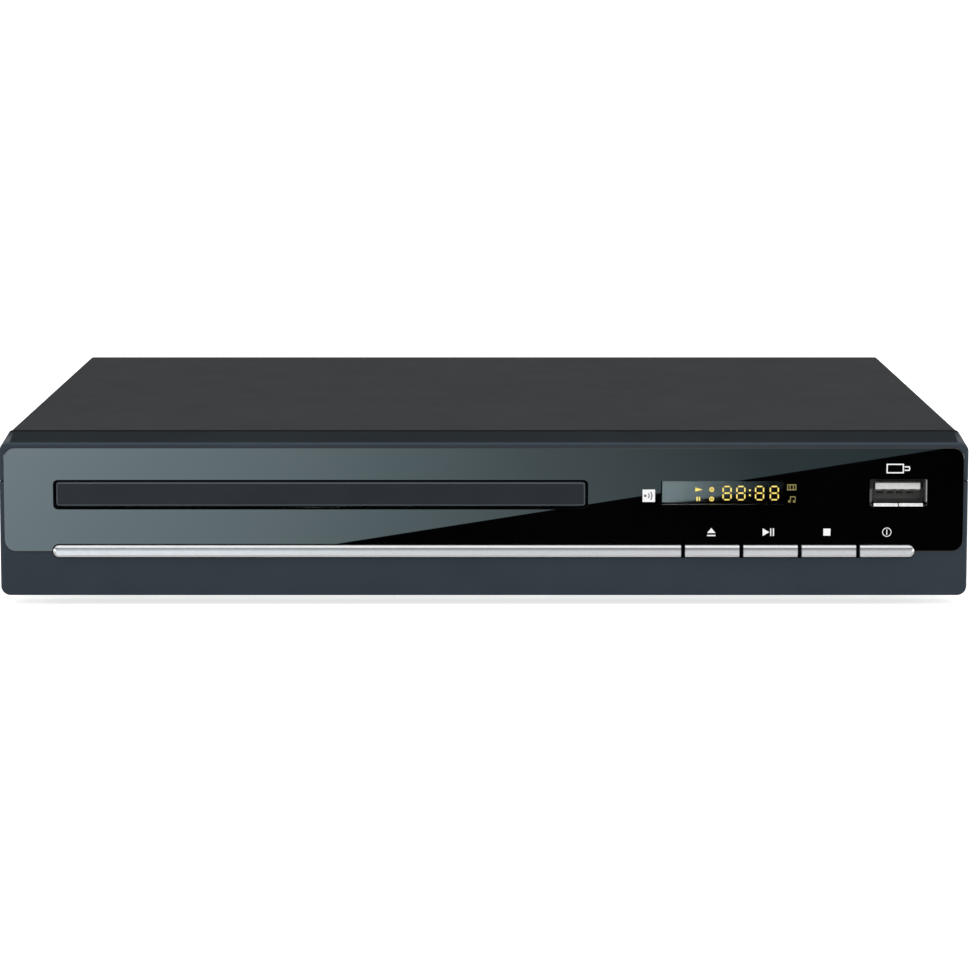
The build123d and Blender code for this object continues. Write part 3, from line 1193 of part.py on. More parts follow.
def make_clamp_bridge():
    """The steel strip across the loader that carries the clamp over the disc."""
    reach = WALL_OUTER + BRIDGE_OVERHANG
    z = (FRAME_TOP, FRAME_TOP + BRIDGE_THICK)
    strip = block(frame_x(1, -reach, reach), bridge_limits(), z)
    for side in (-1, 1):
        lip_x = frame_x(side, WALL_OUTER + FIT, reach)
        strip += block(lip_x, bridge_limits(), (FRAME_TOP - BRIDGE_OVERHANG, FRAME_TOP))
    return strip - post(TRAY_X, DISC_DEPTH, z, PUCK_NECK_RADIUS + PUCK_HOLE_PLAY)


def make_clamper():
    """The clamp puck: it hangs in the bridge by its upper flange and drops onto a disc's middle."""
    bridge_top = FRAME_TOP + BRIDGE_THICK
    upper = (bridge_top + PUCK_HANG, bridge_top + PUCK_HANG + PUCK_FLANGE)
    lower = (FRAME_TOP - PUCK_HANG - PUCK_FLANGE, FRAME_TOP - PUCK_HANG)
    puck = post(TRAY_X, DISC_DEPTH, upper, PUCK_FLANGE_RADIUS)
    puck += post(TRAY_X, DISC_DEPTH, (lower[1], upper[0]), PUCK_NECK_RADIUS)
    puck += post(TRAY_X, DISC_DEPTH, lower, PUCK_FLANGE_RADIUS)
    puck -= post(TRAY_X, DISC_DEPTH, (lower[0], lower[0] + PUCK_WELL), PUCK_WELL_RADIUS)
    return puck - post(TRAY_X, DISC_DEPTH, (upper[1] - MAGNET_THICK, upper[1]), MAGNET_RADIUS)


def make_clamp_magnet():
    top = FRAME_TOP + BRIDGE_THICK + PUCK_HANG + PUCK_FLANGE
    return post(TRAY_X, DISC_DEPTH, (top - MAGNET_THICK, top), MAGNET_RADIUS)


def damper_places():
    """The four dampers between the lift frame and the drive plate, as x and depth."""
    reach = LIFT_HALF_WIDTH - DAMPER_INSET
    depths = (PLATE_FRONT + DAMPER_INSET, PLATE_REAR - DAMPER_INSET)
    return [(TRAY_X + side * reach, depth) for side in (-1, 1) for depth in depths]


def make_lift_frame():
    """The moulded frame that tips about its rear pins: a ring with cam pins on its front bar."""
    outer_x = frame_x(1, -LIFT_HALF_WIDTH, LIFT_HALF_WIDTH)
    ring_rear = PIVOT_DEPTH + PIVOT_RADIUS
    ring = block(outer_x, (LIFT_FRONT, ring_rear), (LIFT_Z, LIFT_TOP))
    inner_x = (outer_x[0] + LIFT_BAR, outer_x[1] - LIFT_BAR)
    ring -= block(inner_x, (LIFT_FRONT + LIFT_BAR / 2, ring_rear - LIFT_BAR / 2), (LIFT_Z, LIFT_TOP))
    reach = LIFT_HALF_WIDTH + FIT + PIVOT_EAR
    for side in (-1, 1):
        pin_x = frame_x(side, LIFT_HALF_WIDTH - LIFT_BAR, reach)
        ring += axle(pin_x, PIVOT_DEPTH, PIVOT_HEIGHT, PIVOT_RADIUS)
    for offset in CAM_PIN_OFFSETS:
        ring += rod(TRAY_X + offset, (CAM_FRONT, LIFT_FRONT), PIVOT_HEIGHT, CAM_PIN_RADIUS)
    for x, depth in damper_places():
        ring -= post(x, depth, (LIFT_Z, LIFT_TOP), DAMPER_SCREW_RADIUS + FIT / 4)
    return ring


def make_drive_plate():
    """The steel plate that carries the disc motor, the rails and the pickup."""
    x = frame_x(1, -LIFT_HALF_WIDTH, LIFT_HALF_WIDTH)
    plate = block(x, (PLATE_FRONT, PLATE_REAR), (PLATE_Z, PLATE_TOP))
    neck = SLED_NECK_HALF_WIDTH + SEAM * 4
    travel = (SLED_FRONT - SEAM * 3, SLED_REAR + PICKUP_TRAVEL + SEAM * 3)
    plate -= block(frame_x(1, -neck, neck), travel, (PLATE_Z, PLATE_TOP))
    plate -= post(TRAY_X, DISC_DEPTH, (PLATE_Z, PLATE_TOP), SPINDLE_TUBE_RADIUS + FIT)
    screw_rear = SLED_REAR + PICKUP_TRAVEL
    motor_x = frame_x(1, SCREW_OFFSET - SLED_MOTOR_RADIUS - SEAM, SCREW_OFFSET + SLED_MOTOR_RADIUS + SEAM)
    plate -= block(motor_x, (screw_rear - SEAM, screw_rear + SLED_MOTOR_LENGTH + SEAM), (PLATE_Z, PLATE_TOP))
    for hole_x, depth in damper_places():
        plate -= post(hole_x, depth, (PLATE_Z, PLATE_TOP), DAMPER_NECK)
    return plate


def make_dampers():
    """Rubber grommets: a foot on the lift frame, a neck in the plate's hole and a head above it."""
    dampers = []
    for x, depth in damper_places():
        grommet = post(x, depth, (LIFT_TOP, PLATE_Z), DAMPER_RADIUS)
        grommet += post(x, depth, (PLATE_Z, PLATE_TOP), DAMPER_NECK)
        grommet += post(x, depth, (PLATE_TOP, PLATE_TOP + DAMPER_HEAD), DAMPER_RADIUS)
        dampers.append(grommet - post(x, depth, (LIFT_TOP, PLATE_TOP + DAMPER_HEAD), DAMPER_BORE))
    return together(dampers)


def make_damper_screws():
    screws = []
    head_z = PLATE_TOP + DAMPER_HEAD
    for x, depth in damper_places():
        shank = post(x, depth, (LIFT_Z, head_z), DAMPER_SCREW_RADIUS)
        screws.append(shank + post(x, depth, (head_z, head_z + SHEET), DAMPER_RADIUS - FIT * 4))
    return together(screws)


def make_spindle_motor():
    motor = post(TRAY_X, DISC_DEPTH, (PLATE_TOP, PLATE_TOP + SPINDLE_MOTOR_HEIGHT), SPINDLE_MOTOR_RADIUS)
    motor += post(TRAY_X, DISC_DEPTH, (PLATE_TOP - SPINDLE_TUBE_HEIGHT, PLATE_TOP), SPINDLE_TUBE_RADIUS)
    shaft_z = (PLATE_TOP - SPINDLE_TUBE_HEIGHT + 1, PLATE_TOP + SPINDLE_MOTOR_HEIGHT)
    return motor - post(TRAY_X, DISC_DEPTH, shaft_z, SPINDLE_SHAFT_RADIUS + SHAFT_PLAY / 2)


def make_turntable():
    """The turning part of the disc motor: rotor cup, shaft and the hub that centres a disc."""
    cup_z = (PLATE_TOP + SPINDLE_MOTOR_HEIGHT + SEAM, DISC_SEAT - SEAT_THICK)
    cup = post(TRAY_X, DISC_DEPTH, cup_z, TURNTABLE_RADIUS)
    cup += post(TRAY_X, DISC_DEPTH, (cup_z[1], DISC_SEAT), HUB_BASE_RADIUS)
    cup += cone(TRAY_X, DISC_DEPTH, (DISC_SEAT, DISC_SEAT + HUB_HEIGHT), HUB_BASE_RADIUS, HUB_TOP_RADIUS)
    shaft_z = (PLATE_TOP - SPINDLE_TUBE_HEIGHT + 1 + FIT, cup_z[0])
    return cup + post(TRAY_X, DISC_DEPTH, shaft_z, SPINDLE_SHAFT_RADIUS)


def make_disc_seat():
    """The rubber ring that a disc lies on."""
    z = (DISC_SEAT - SEAT_THICK, DISC_SEAT)
    return post(TRAY_X, DISC_DEPTH, z, SEAT_OUTER_RADIUS) - post(TRAY_X, DISC_DEPTH, z, SEAT_INNER_RADIUS)


def rail_span():
    return (SLED_FRONT - RAIL_CLIP_LENGTH, SLED_REAR + PICKUP_TRAVEL + RAIL_CLIP_LENGTH)


def make_rails():
    return together([rod(TRAY_X + side * RAIL_OFFSET, rail_span(), RAIL_Z, RAIL_RADIUS) for side in (-1, 1)])


def make_rail_clips():
    """Blocks under the drive plate that hold the ends of both rails and the lead screw's front end."""
    clips = []
    low, high = rail_span()
    for side in (-1, 1):
        x = TRAY_X + side * RAIL_OFFSET
        for depth in ((low, low + RAIL_CLIP_LENGTH - SEAM), (high - RAIL_CLIP_LENGTH + SEAM, high)):
            clip = block((x - RAIL_CLIP, x + RAIL_CLIP), depth, (RAIL_Z - RAIL_CLIP, PLATE_Z))
            clips.append(clip - rod(x, depth, RAIL_Z, RAIL_RADIUS))
    x = TRAY_X + SCREW_OFFSET
    depth = (low, low + RAIL_CLIP_LENGTH - SEAM)
    bearing = block((x - RAIL_CLIP, x + RAIL_CLIP), depth, (SCREW_Z - RAIL_CLIP, PLATE_Z))
    clips.append(bearing - rod(x, depth, SCREW_Z, LEAD_SCREW_RADIUS + SHAFT_PLAY))
    return together(clips)


def make_sled():
    """The pickup's die-cast body: a low deck that runs on both rails and a neck up through the plate."""
    low_top = PLATE_Z - SEAM
    wide = frame_x(1, -SLED_HALF_WIDTH, SLED_HALF_WIDTH)
    body = block(wide, (SLED_FRONT, SLED_REAR), (SLED_FLOOR, low_top))
    neck_top = FLOOR_Z - SLED_TOP_GAP
    neck = SLED_NECK_HALF_WIDTH
    body += block(frame_x(1, -neck, neck), (SLED_FRONT + FIT * 4, SLED_REAR - FIT * 4), (low_top, neck_top))
    for side in (-1, 1):
        body -= rod(TRAY_X + side * RAIL_OFFSET, (SLED_FRONT, SLED_REAR), RAIL_Z, RAIL_RADIUS + RAIL_PLAY)
    half = LENS_BOSS / 2
    well_z = (neck_top - LENS_BOSS_HEIGHT, neck_top)
    return body - block(frame_x(1, -half, half), (PICKUP_DEPTH - half, PICKUP_DEPTH + half), well_z)


def make_sled_nut():
    """The nut that the lead screw drives, fixed to the sled's right side."""
    x = frame_x(1, SLED_HALF_WIDTH, SCREW_OFFSET + NUT_HALF_WIDTH)
    middle = (SLED_FRONT + SLED_REAR) / 2
    depth = (middle - NUT_LENGTH / 2, middle + NUT_LENGTH / 2)
    nut = block(x, depth, (SCREW_Z - NUT_HALF_WIDTH, PLATE_Z - SEAM))
    return nut - rod(TRAY_X + SCREW_OFFSET, depth, SCREW_Z, LEAD_SCREW_RADIUS + LEAD_SCREW_PLAY)


def make_lens_holder():
    """The coil block that floats on its wires in the sled's well and holds the objective lens."""
    neck_top = FLOOR_Z - SLED_TOP_GAP
    half = LENS_BOSS / 2 - LENS_TRAVEL - SEAM
    low = neck_top - LENS_BOSS_HEIGHT + LENS_TRAVEL + FIT
    high = DISC_SEAT - LENS_GAP - SEAM
    depth = (PICKUP_DEPTH - half, PICKUP_DEPTH + half)
    holder = block(frame_x(1, -half, half), depth, (low, neck_top + LENS_TRAVEL))
    holder += post(TRAY_X, PICKUP_DEPTH, (neck_top + LENS_TRAVEL, high), LENS_RING)
    return holder - post(TRAY_X, PICKUP_DEPTH, (high - LENS_BOSS_HEIGHT, high), LENS_RADIUS)


def make_objective_lens():
    """The objective lens: a disc with a domed face, seated in the holder's ring."""
    high = DISC_SEAT - LENS_GAP - SEAM
    lens = post(TRAY_X, PICKUP_DEPTH, (high - LENS_BOSS_HEIGHT, high), LENS_RADIUS)
    rim = lens.edges().filter_by(GeomType.CIRCLE).sort_by(Axis.Z)[-1]
    return fillet(rim, LENS_RADIUS * 0.4)


def make_lead_screw():
    low = rail_span()[0]
    return rod(TRAY_X + SCREW_OFFSET, (low, SLED_REAR + PICKUP_TRAVEL), SCREW_Z, LEAD_SCREW_RADIUS)


def make_sled_motor():
    rear = SLED_REAR + PICKUP_TRAVEL
    depth = (rear + SEAM / 2, rear + SLED_MOTOR_LENGTH)
    motor = rod(TRAY_X + SCREW_OFFSET, depth, SCREW_Z, SLED_MOTOR_RADIUS)
    x = frame_x(1, SCREW_OFFSET - SLED_MOTOR_RADIUS * 1.25, SCREW_OFFSET + SLED_MOTOR_RADIUS * 1.25)
    bracket = block(x, (rear + SEAM / 2, rear + SEAM / 2 + SHEET), (SCREW_Z - SLED_MOTOR_RADIUS, PLATE_Z))
    return motor + bracket


def cam_pin_heights():
    """The height of the cam pins when the lift frame is low, and when it is level."""
    arm = PIVOT_DEPTH - (CAM_FRONT + CAM_REAR) / 2
    return PIVOT_HEIGHT - arm * math.sin(math.radians(DROP_ANGLE)), PIVOT_HEIGHT


def make_cam_slider():
    """The slider whose slanted slots lift the frame's pins as it moves to the right."""
    low, high = cam_pin_heights()
    left = TRAY_X + CAM_PIN_OFFSETS[0] - CAM_TRAVEL - CAM_MARGIN
    right = TRAY_X + CAM_PIN_OFFSETS[1] + CAM_MARGIN
    slider = block((left, right), (CAM_FRONT, CAM_REAR), (CAM_BOTTOM, high + CAM_SLOT_RADIUS + 1))
    foot_front = GEAR_DEPTH + GEAR_MODULE * (TRAY_GEAR_TEETH / 2 + STUB) + CAM_RACK_CLEAR + GEAR_MODULE * 2
    foot_z = (DECK_TOP + TRAY_PLAY, DECK_TOP + TRAY_PLAY + CAM_FOOT_THICK)
    slider += block((left, right), (foot_front, CAM_FRONT), foot_z)
    for i in range(CAM_RACK_TEETH):
        x = right - math.pi * GEAR_MODULE * (i + 1)
        half = math.pi * GEAR_MODULE / 4
        slider += block((x - half, x + half), (foot_front - GEAR_MODULE * 2, foot_front), foot_z)
    for offset in CAM_PIN_OFFSETS:
        slider -= cam_slot(TRAY_X + offset, low, high)
    return slider


def cam_slot(x, low, high):
    """A slanted slot from a pin's low place to its high place, reached at the slider's full travel."""
    length = math.hypot(CAM_TRAVEL, high - low)
    slant = -math.degrees(math.atan2(high - low, CAM_TRAVEL))
    outline = SlotOverall(length + 2 * CAM_SLOT_RADIUS, 2 * CAM_SLOT_RADIUS, rotation=slant)
    return panel(outline, x - CAM_TRAVEL / 2, (low + high) / 2, (CAM_FRONT - 1, CAM_REAR + 1))


def make_board(outline):
    """A circuit board with its screw holes."""
    for x, depth in board_holes():
        outline -= post(x, depth, (BOARD_Z, BOARD_TOP), SCREW_HOLE)
    return outline


def make_power_board():
    return make_board(block(POWER_BOARD_X, (POWER_BOARD_FRONT, BOARD_REAR), (BOARD_Z, BOARD_TOP)))


def make_main_board():
    """The main board: a wide part beside the loader and a strip along the rear behind it."""
    board = block(MAIN_BOARD_X, (MAIN_BOARD_FRONT, BOARD_REAR), (BOARD_Z, BOARD_TOP))
    strip = (STRIP_BOARD_LEFT, MAIN_BOARD_X[1])
    return make_board(board + block(strip, (STRIP_BOARD_FRONT, BOARD_REAR), (BOARD_Z, BOARD_TOP)))


def board_screws():
    screws = []
    for x, depth in board_holes():
        shank = post(x, depth, (CHASSIS_TOP + FIT, BOARD_TOP), SCREW_RADIUS)
        screws.append(shank + post(x, depth, (BOARD_TOP, BOARD_TOP + SCREW_HEAD), SCREW_HEAD_RADIUS))
    return screws


def make_inner_screws():
    """All the small screws: front board, boards, loader and those up through the floor."""
    return together(front_board_screws() + floor_screws() + loader_screws() + board_screws())


def on_board(x, depth, width, length, height):
    """A box that stands on a circuit board, given its middle and size."""
    span = (x - width / 2, x + width / 2)
    return block(span, (depth - length / 2, depth + length / 2), (BOARD_TOP, BOARD_TOP + height))


def make_chips():
    """The decoder, its memory and the motor driver on the main board."""
    x = sum(MAIN_BOARD_X) / 2
    decoder = on_board(x, DECODER_DEPTH, DECODER_SIZE, DECODER_SIZE, CHIP_THICK)
    memory = on_board(x, MEMORY_DEPTH, MEMORY_LENGTH, MEMORY_WIDTH, CHIP_THICK)
    driver = on_board(x, DRIVER_DEPTH, DRIVER_SIZE, DRIVER_SIZE, CHIP_THICK)
    return together([decoder, memory, driver])


def capacitor(x, depth, radius, height):
    """A can on a board, with a rounded top edge."""
    can = post(x, depth, (BOARD_TOP, BOARD_TOP + height), radius)
    return fillet(can.edges().filter_by(GeomType.CIRCLE).sort_by(Axis.Z)[-1], CAPACITOR_EDGE)


def make_capacitors():
    x = sum(POWER_BOARD_X) / 2
    cans = [capacitor(x, BULK_DEPTH, BULK_RADIUS, BULK_HEIGHT)]
    for i in range(SMALL_COUNT):
        depth = SMALL_FRONT + SMALL_PITCH * i
        for side in (-1, 1):
            cans.append(capacitor(x + side * SMALL_PITCH / 2, depth, SMALL_RADIUS, SMALL_HEIGHT))
    return together(cans)


def make_transformer():
    """The switching transformer: a ferrite core round a taped coil."""
    x = sum(POWER_BOARD_X) / 2
    core = on_board(x, TRANSFORMER_DEPTH, CORE_WIDTH, CORE_LENGTH, CORE_HEIGHT)
    opening = CORE_WIDTH - 2 * CORE_LEG
    window_z = (BOARD_TOP + CORE_LEG, BOARD_TOP + CORE_HEIGHT - CORE_LEG)
    span = (x - opening / 2, x + opening / 2)
    core -= block(span, (TRANSFORMER_DEPTH - CORE_LENGTH, TRANSFORMER_DEPTH + CORE_LENGTH), window_z)
    half = COIL_LENGTH / 2
    coil = block(span, (TRANSFORMER_DEPTH - half, TRANSFORMER_DEPTH + half), window_z)
    return together([core, coil])


def make_heat_sink():
    """A finned aluminium plate that stands on the power board."""
    x = sum(POWER_BOARD_X) / 2
    sink = on_board(x, SINK_DEPTH, SINK_WIDTH, SINK_PLATE, SINK_HEIGHT)
    pitch = (SINK_WIDTH - SINK_PLATE) / (SINK_FINS - 1)
    for i in range(SINK_FINS):
        fin_x = x - SINK_WIDTH / 2 + SINK_PLATE / 2 + pitch * i
        sink += on_board(fin_x, SINK_DEPTH + SINK_FIN / 2, SINK_PLATE, SINK_FIN, SINK_HEIGHT)
    return sink


def front_ribbon():
    """The flat cable from the front board to the main board, with a plug at each end."""
    wide = (RIBBON_X - RIBBON_WIDTH / 2, RIBBON_X + RIBBON_WIDTH / 2)
    board_back = FRONT_BOARD_DEPTH + BOARD
    run_z = BOARD_TOP + RIBBON_LIFT
    drop = MAIN_BOARD_FRONT + PLUG_LENGTH / 2
    turn = drop + PLUG_LENGTH / 2 + RIBBON_THICK / 2
    plug_z = (run_z - PLUG_LENGTH, run_z + PLUG_LENGTH)
    front_plug = block(wide, (board_back, board_back + PLUG_HEIGHT), plug_z)
    rear_plug = block(wide, (drop, drop + PLUG_LENGTH), (BOARD_TOP, BOARD_TOP + PLUG_HEIGHT))
    ribbon = block(wide, (board_back + PLUG_HEIGHT, turn), (run_z, run_z + RIBBON_THICK))
    ribbon += block(wide, (turn - RIBBON_THICK, turn), (BOARD_TOP + PLUG_HEIGHT, run_z))
    return [front_plug, rear_plug, ribbon]


def pickup_flex():
    """The fixed run of the pickup's flat cable: along the floor and up to a socket on the main board."""
    depth = (FLEX_DEPTH - FLEX_WIDTH / 2, FLEX_DEPTH + FLEX_WIDTH / 2)
    edge = MAIN_BOARD_X[0]
    plug_z = (BOARD_TOP + CHIP_THICK - FLEX_THICK, BOARD_TOP + CHIP_THICK)
    flex = block((FLEX_END_X, edge - FLEX_THICK), depth, (CHASSIS_TOP, CHASSIS_TOP + FLEX_THICK))
    flex += block((edge - 2 * FLEX_THICK, edge - FLEX_THICK), depth, (CHASSIS_TOP, plug_z[1]))
    flex += block((edge - 2 * FLEX_THICK, edge), depth, plug_z)
    socket = block((edge, edge + PLUG_LENGTH), depth, (BOARD_TOP, BOARD_TOP + 2 * CHIP_THICK))
    return [flex, socket]


def make_ribbon_cables():
    return together(front_ribbon() + pickup_flex())


def make_tray_door():
    outline = RectangleRounded(DOOR_WIDTH, DOOR_HEIGHT, DOOR_CORNER)
    door = panel(outline, MOUTH_X, DOOR_Z, (0, DOOR_THICK))
    return chamfer(door.faces().sort_by(Axis.Y)[0].edges(), DOOR_EDGE)


def fixed_pieces():
    """What stands still, by the name of its file."""
    return {
        "front_bezel": make_front_bezel(),
        "front_window": make_front_window(),
        "display_lens": make_display_lens(),
        "trim_bar": make_trim_bar(),
        "key_switches": make_key_switches(),
        "front_board": make_front_board(),
        "display_module": make_display_module(),
        "remote_eye": make_remote_eye(),
        "usb_shell": make_usb_shell(),
        "usb_tongue": make_usb_tongue(),
        "top_cover": make_top_cover(),
        "chassis": make_chassis(),
        "rear_panel": make_rear_panel(),
        "lid_screws": make_lid_screws(),
        "inner_screws": make_inner_screws(),
        "feet": make_feet(),
        "jack_block": make_jack_block(),
        "jack_sleeves": make_jack_sleeves(),
        "jack_inserts": make_jack_inserts(),
        "hdmi_socket": make_hdmi_socket(),
        "mains_inlet": make_mains_inlet(),
        "inlet_pins": make_inlet_pins(),
        "loader_frame": make_loader_frame(),
        "clamp_bridge": make_clamp_bridge(),
        "loading_motor": make_loading_motor(),
        "power_board": make_power_board(),
        "main_board": make_main_board(),
        "chips": make_chips(),
        "capacitors": make_capacitors(),
        "transformer": make_transformer(),
        "heat_sink": make_heat_sink(),
        "ribbon_cables": make_ribbon_cables(),
    }


def tray_pieces():
    """The keys, the tray and what drives it, by the name of its file."""
    return {
        "eject_key": make_key(KEY_XS[0]),
        "play_key": make_key(KEY_XS[1]),
        "stop_key": make_key(KEY_XS[2]),
        "power_key": make_key(KEY_XS[3]),
        "tray": make_tray(),
        "tray_door": make_tray_door(),
        "tray_gear": make_tray_gear(),
        "pulley_gear": make_pulley_gear(),
        "motor_pulley": make_motor_pulley(),
        "drive_belt": make_drive_belt(),
        "cam_slider": make_cam_slider(),
        "clamper": make_clamper(),
        "clamp_magnet": make_clamp_magnet(),
    }


def lift_pieces():
    """What the lift frame carries, made level, by the name of its file."""
    return {
        "lift_frame": make_lift_frame(),
        "drive_plate": make_drive_plate(),
        "dampers": make_dampers(),
        "damper_screws": make_damper_screws(),
        "spindle_motor": make_spindle_motor(),
        "turntable": make_turntable(),
        "disc_seat": make_disc_seat(),
        "rails": make_rails(),
        "rail_clips": make_rail_clips(),
        "pickup_sled": make_sled(),
        "sled_nut": make_sled_nut(),
        "lens_holder": make_lens_holder(),
        "objective_lens": make_objective_lens(),
        "lead_screw": make_lead_screw(),
        "sled_motor": make_sled_motor(),
    }


os.makedirs("parts", exist_ok=True)
for name, shape in (fixed_pieces() | tray_pieces()).items():
    save(name, shape)
for name, shape in lift_pieces().items():
    save(name, lowered(shape))
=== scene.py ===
"""The looks of a compact disc player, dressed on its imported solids.

Sizes are millimetres and become metres where a mesh or a lamp is made. The front faces -Y.
The prints on the glossy window, the lit display behind its lens and the studio are made here.
Every solid keeps its shape and gets its finish.
"""

import math

import bmesh
import bpy
from mathutils import Matrix, Vector

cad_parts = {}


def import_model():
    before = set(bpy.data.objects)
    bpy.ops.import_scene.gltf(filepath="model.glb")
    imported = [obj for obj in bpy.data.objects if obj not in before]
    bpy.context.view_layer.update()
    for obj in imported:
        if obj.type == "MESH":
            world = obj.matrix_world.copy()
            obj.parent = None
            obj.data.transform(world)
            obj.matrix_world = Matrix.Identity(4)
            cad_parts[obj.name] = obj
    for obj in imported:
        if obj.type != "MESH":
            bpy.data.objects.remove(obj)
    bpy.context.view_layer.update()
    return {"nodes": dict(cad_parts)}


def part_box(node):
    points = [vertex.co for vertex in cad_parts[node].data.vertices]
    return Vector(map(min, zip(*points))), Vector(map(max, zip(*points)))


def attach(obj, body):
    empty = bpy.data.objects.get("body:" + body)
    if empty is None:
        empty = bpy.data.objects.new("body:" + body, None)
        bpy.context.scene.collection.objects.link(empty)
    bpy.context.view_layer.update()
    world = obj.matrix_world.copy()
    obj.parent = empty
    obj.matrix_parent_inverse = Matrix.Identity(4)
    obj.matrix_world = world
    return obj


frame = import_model()

MM = 0.001


def reach(node):
    """A node's lowest and highest corners at rest, rounded to a thousandth of a millimetre."""
    return [[round(value / MM, 3) for value in corner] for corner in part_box(node)]


# Places read from the solids, as corners (x, y, z) or one of their values
BEZEL_LOW, BEZEL_HIGH = reach("front_bezel")
BAR_LOW, BAR_HIGH = reach("trim_bar")
LENS_LOW, LENS_HIGH = reach("display_lens")
SHELL_LOW, SHELL_HIGH = reach("usb_shell")
FACE = BEZEL_LOW[1]
WINDOW_FACE = reach("front_window")[0][1]
BAR_HEIGHT = (BAR_LOW[2] + BAR_HIGH[2]) / 2
LENS_HEIGHT = (LENS_LOW[2] + LENS_HIGH[2]) / 2
SHELL_X = (SHELL_LOW[0] + SHELL_HIGH[0]) / 2

# Places on the front that no box gives
SLOPE_FOOT = BEZEL_HIGH[2] - 2.25
GROOVE_HEIGHT = 31.2
POCKET_HALF_WIDTH = 107.5
DISPLAY_X = 59.3

# The photograph's place and lens
CAMERA_PLACE = (0.3, -1022.2, 149.15)
CAMERA_TILT = 7.391
CAMERA_LENS = 138.7
CAMERA_FILM = 36.0


# Node and colour helpers

def tone(code):
    """The linear colour of an sRGB hex code."""
    parts = [int(code[i:i + 2], 16) / 255 for i in (1, 3, 5)]
    return [p / 12.92 if p <= 0.04045 else ((p + 0.055) / 1.055) ** 2.4 for p in parts] + [1.0]


def add(tree, kind, inputs=None, **settings):
    """Adds a node, sets it up, and fills or links its inputs."""
    node = tree.nodes.new(kind)
    for name, value in settings.items():
        setattr(node, name, value)
    for name, value in (inputs or {}).items():
        if isinstance(value, bpy.types.NodeSocket):
            tree.links.new(value, node.inputs[name])
        else:
            node.inputs[name].default_value = value
    return node


def finish(name, colour, roughness, metallic=0.0, **sockets):
    """A material for one real finish, with the values that are the same all over it."""
    material = bpy.data.materials.new(name)
    material.use_nodes = True
    tree = material.node_tree
    shader = tree.nodes["Principled BSDF"]
    shader.inputs["Base Color"].default_value = tone(colour)
    shader.inputs["Roughness"].default_value = roughness
    shader.inputs["Metallic"].default_value = metallic
    for socket, value in sockets.items():
        shader.inputs[socket.replace("_", " ")].default_value = value
    return material, tree, shader


def where(tree, stretch=(1, 1, 1)):
    """Object coordinates in millimetres, stretched along the axes."""
    place = add(tree, "ShaderNodeTexCoord").outputs["Object"]
    scale = [s / MM for s in stretch]
    return add(tree, "ShaderNodeMapping", {"Vector": place, "Scale": scale}).outputs["Vector"]


def axes(tree):
    """How far across, how deep and how high a point is, in millimetres."""
    return add(tree, "ShaderNodeSeparateXYZ", {"Vector": where(tree)}).outputs


def facing(tree):
    """How much a face looks along X, Y and Z."""
    normal = add(tree, "ShaderNodeNewGeometry").outputs["Normal"]
    return add(tree, "ShaderNodeSeparateXYZ", {"Vector": normal}).outputs


def speckle(tree, size, detail=3.0, stretch=(1, 1, 1)):
    """Noise whose lumps are about size millimetres."""
    inputs = {"Vector": where(tree, stretch), "Scale": 1 / size, "Detail": detail, "Roughness": 0.55}
    return add(tree, "ShaderNodeTexNoise", inputs).outputs["Fac"]


def blend(tree, amount, first, second):
    """A mix of two colours, either of them a hex code or a socket."""
    mix = add(tree, "ShaderNodeMix", {0: amount}, data_type="RGBA")
    for socket, value in ((6, first), (7, second)):
        if isinstance(value, bpy.types.NodeSocket):
            tree.links.new(value, mix.inputs[socket])
        else:
            mix.inputs[socket].default_value = tone(value)
    return mix.outputs[2]


def spread(tree, value, low, high, start=0.35, end=0.65):
    """A value stretched from start..end to low..high, and held there outside them."""
    inputs = {"Value": value, "From Min": start, "From Max": end, "To Min": low, "To Max": high}
    return add(tree, "ShaderNodeMapRange", inputs).outputs["Result"]


def patches(tree, size, detail=3.0, stretch=(1, 1, 1)):
    """Soft lumps about size millimetres across, from nothing to one."""
    return spread(tree, speckle(tree, size, detail, stretch), 0.0, 1.0)


def after(tree, value, start, end):
    """Nothing up to start, one from end on."""
    return spread(tree, value, 0.0, 1.0, start, end)


def before(tree, value, start, end):
    """One up to start, nothing from end on."""
    return spread(tree, value, 1.0, 0.0, start, end)


def apart(tree, value, level):
    """How far a value is from a level, whichever way."""
    off = add(tree, "ShaderNodeMath", {0: value, 1: level}, operation="SUBTRACT").outputs[0]
    return add(tree, "ShaderNodeMath", {0: off}, operation="ABSOLUTE").outputs[0]


def near(tree, value, level, full, gone):
    """One within full of a level, fading to nothing at gone."""
    return before(tree, apart(tree, value, level), full, gone)


def over(tree, first, second):
    """One where the first value is over the second, nothing elsewhere."""
    return add(tree, "ShaderNodeMath", {0: first, 1: second}, operation="GREATER_THAN").outputs[0]


def both(tree, first, second):
    """Two zones multiplied: only what both take in."""
    return add(tree, "ShaderNodeMath", {0: first, 1: second}, operation="MULTIPLY").outputs[0]


def either(tree, first, second):
    """The greater of two zones: all that one or the other takes in."""
    return add(tree, "ShaderNodeMath", {0: first, 1: second}, operation="MAXIMUM").outputs[0]


def colour_by(tree, shader, colour):
    """Gives the shader a colour that changes over the surface."""
    tree.links.new(colour, shader.inputs["Base Color"])


def relief(tree, shader, height, depth):
    """Bump of a real depth in millimetres."""
    bump = add(tree, "ShaderNodeBump", {"Height": height, "Distance": depth * MM, "Strength": 1.0})
    tree.links.new(bump.outputs["Normal"], shader.inputs["Normal"])


def mottled(tree, shader, first, second, size, stretch=(1, 1, 1)):
    """Slow drift between two close colours."""
    colour_by(tree, shader, blend(tree, patches(tree, size, 2.0, stretch), first, second))


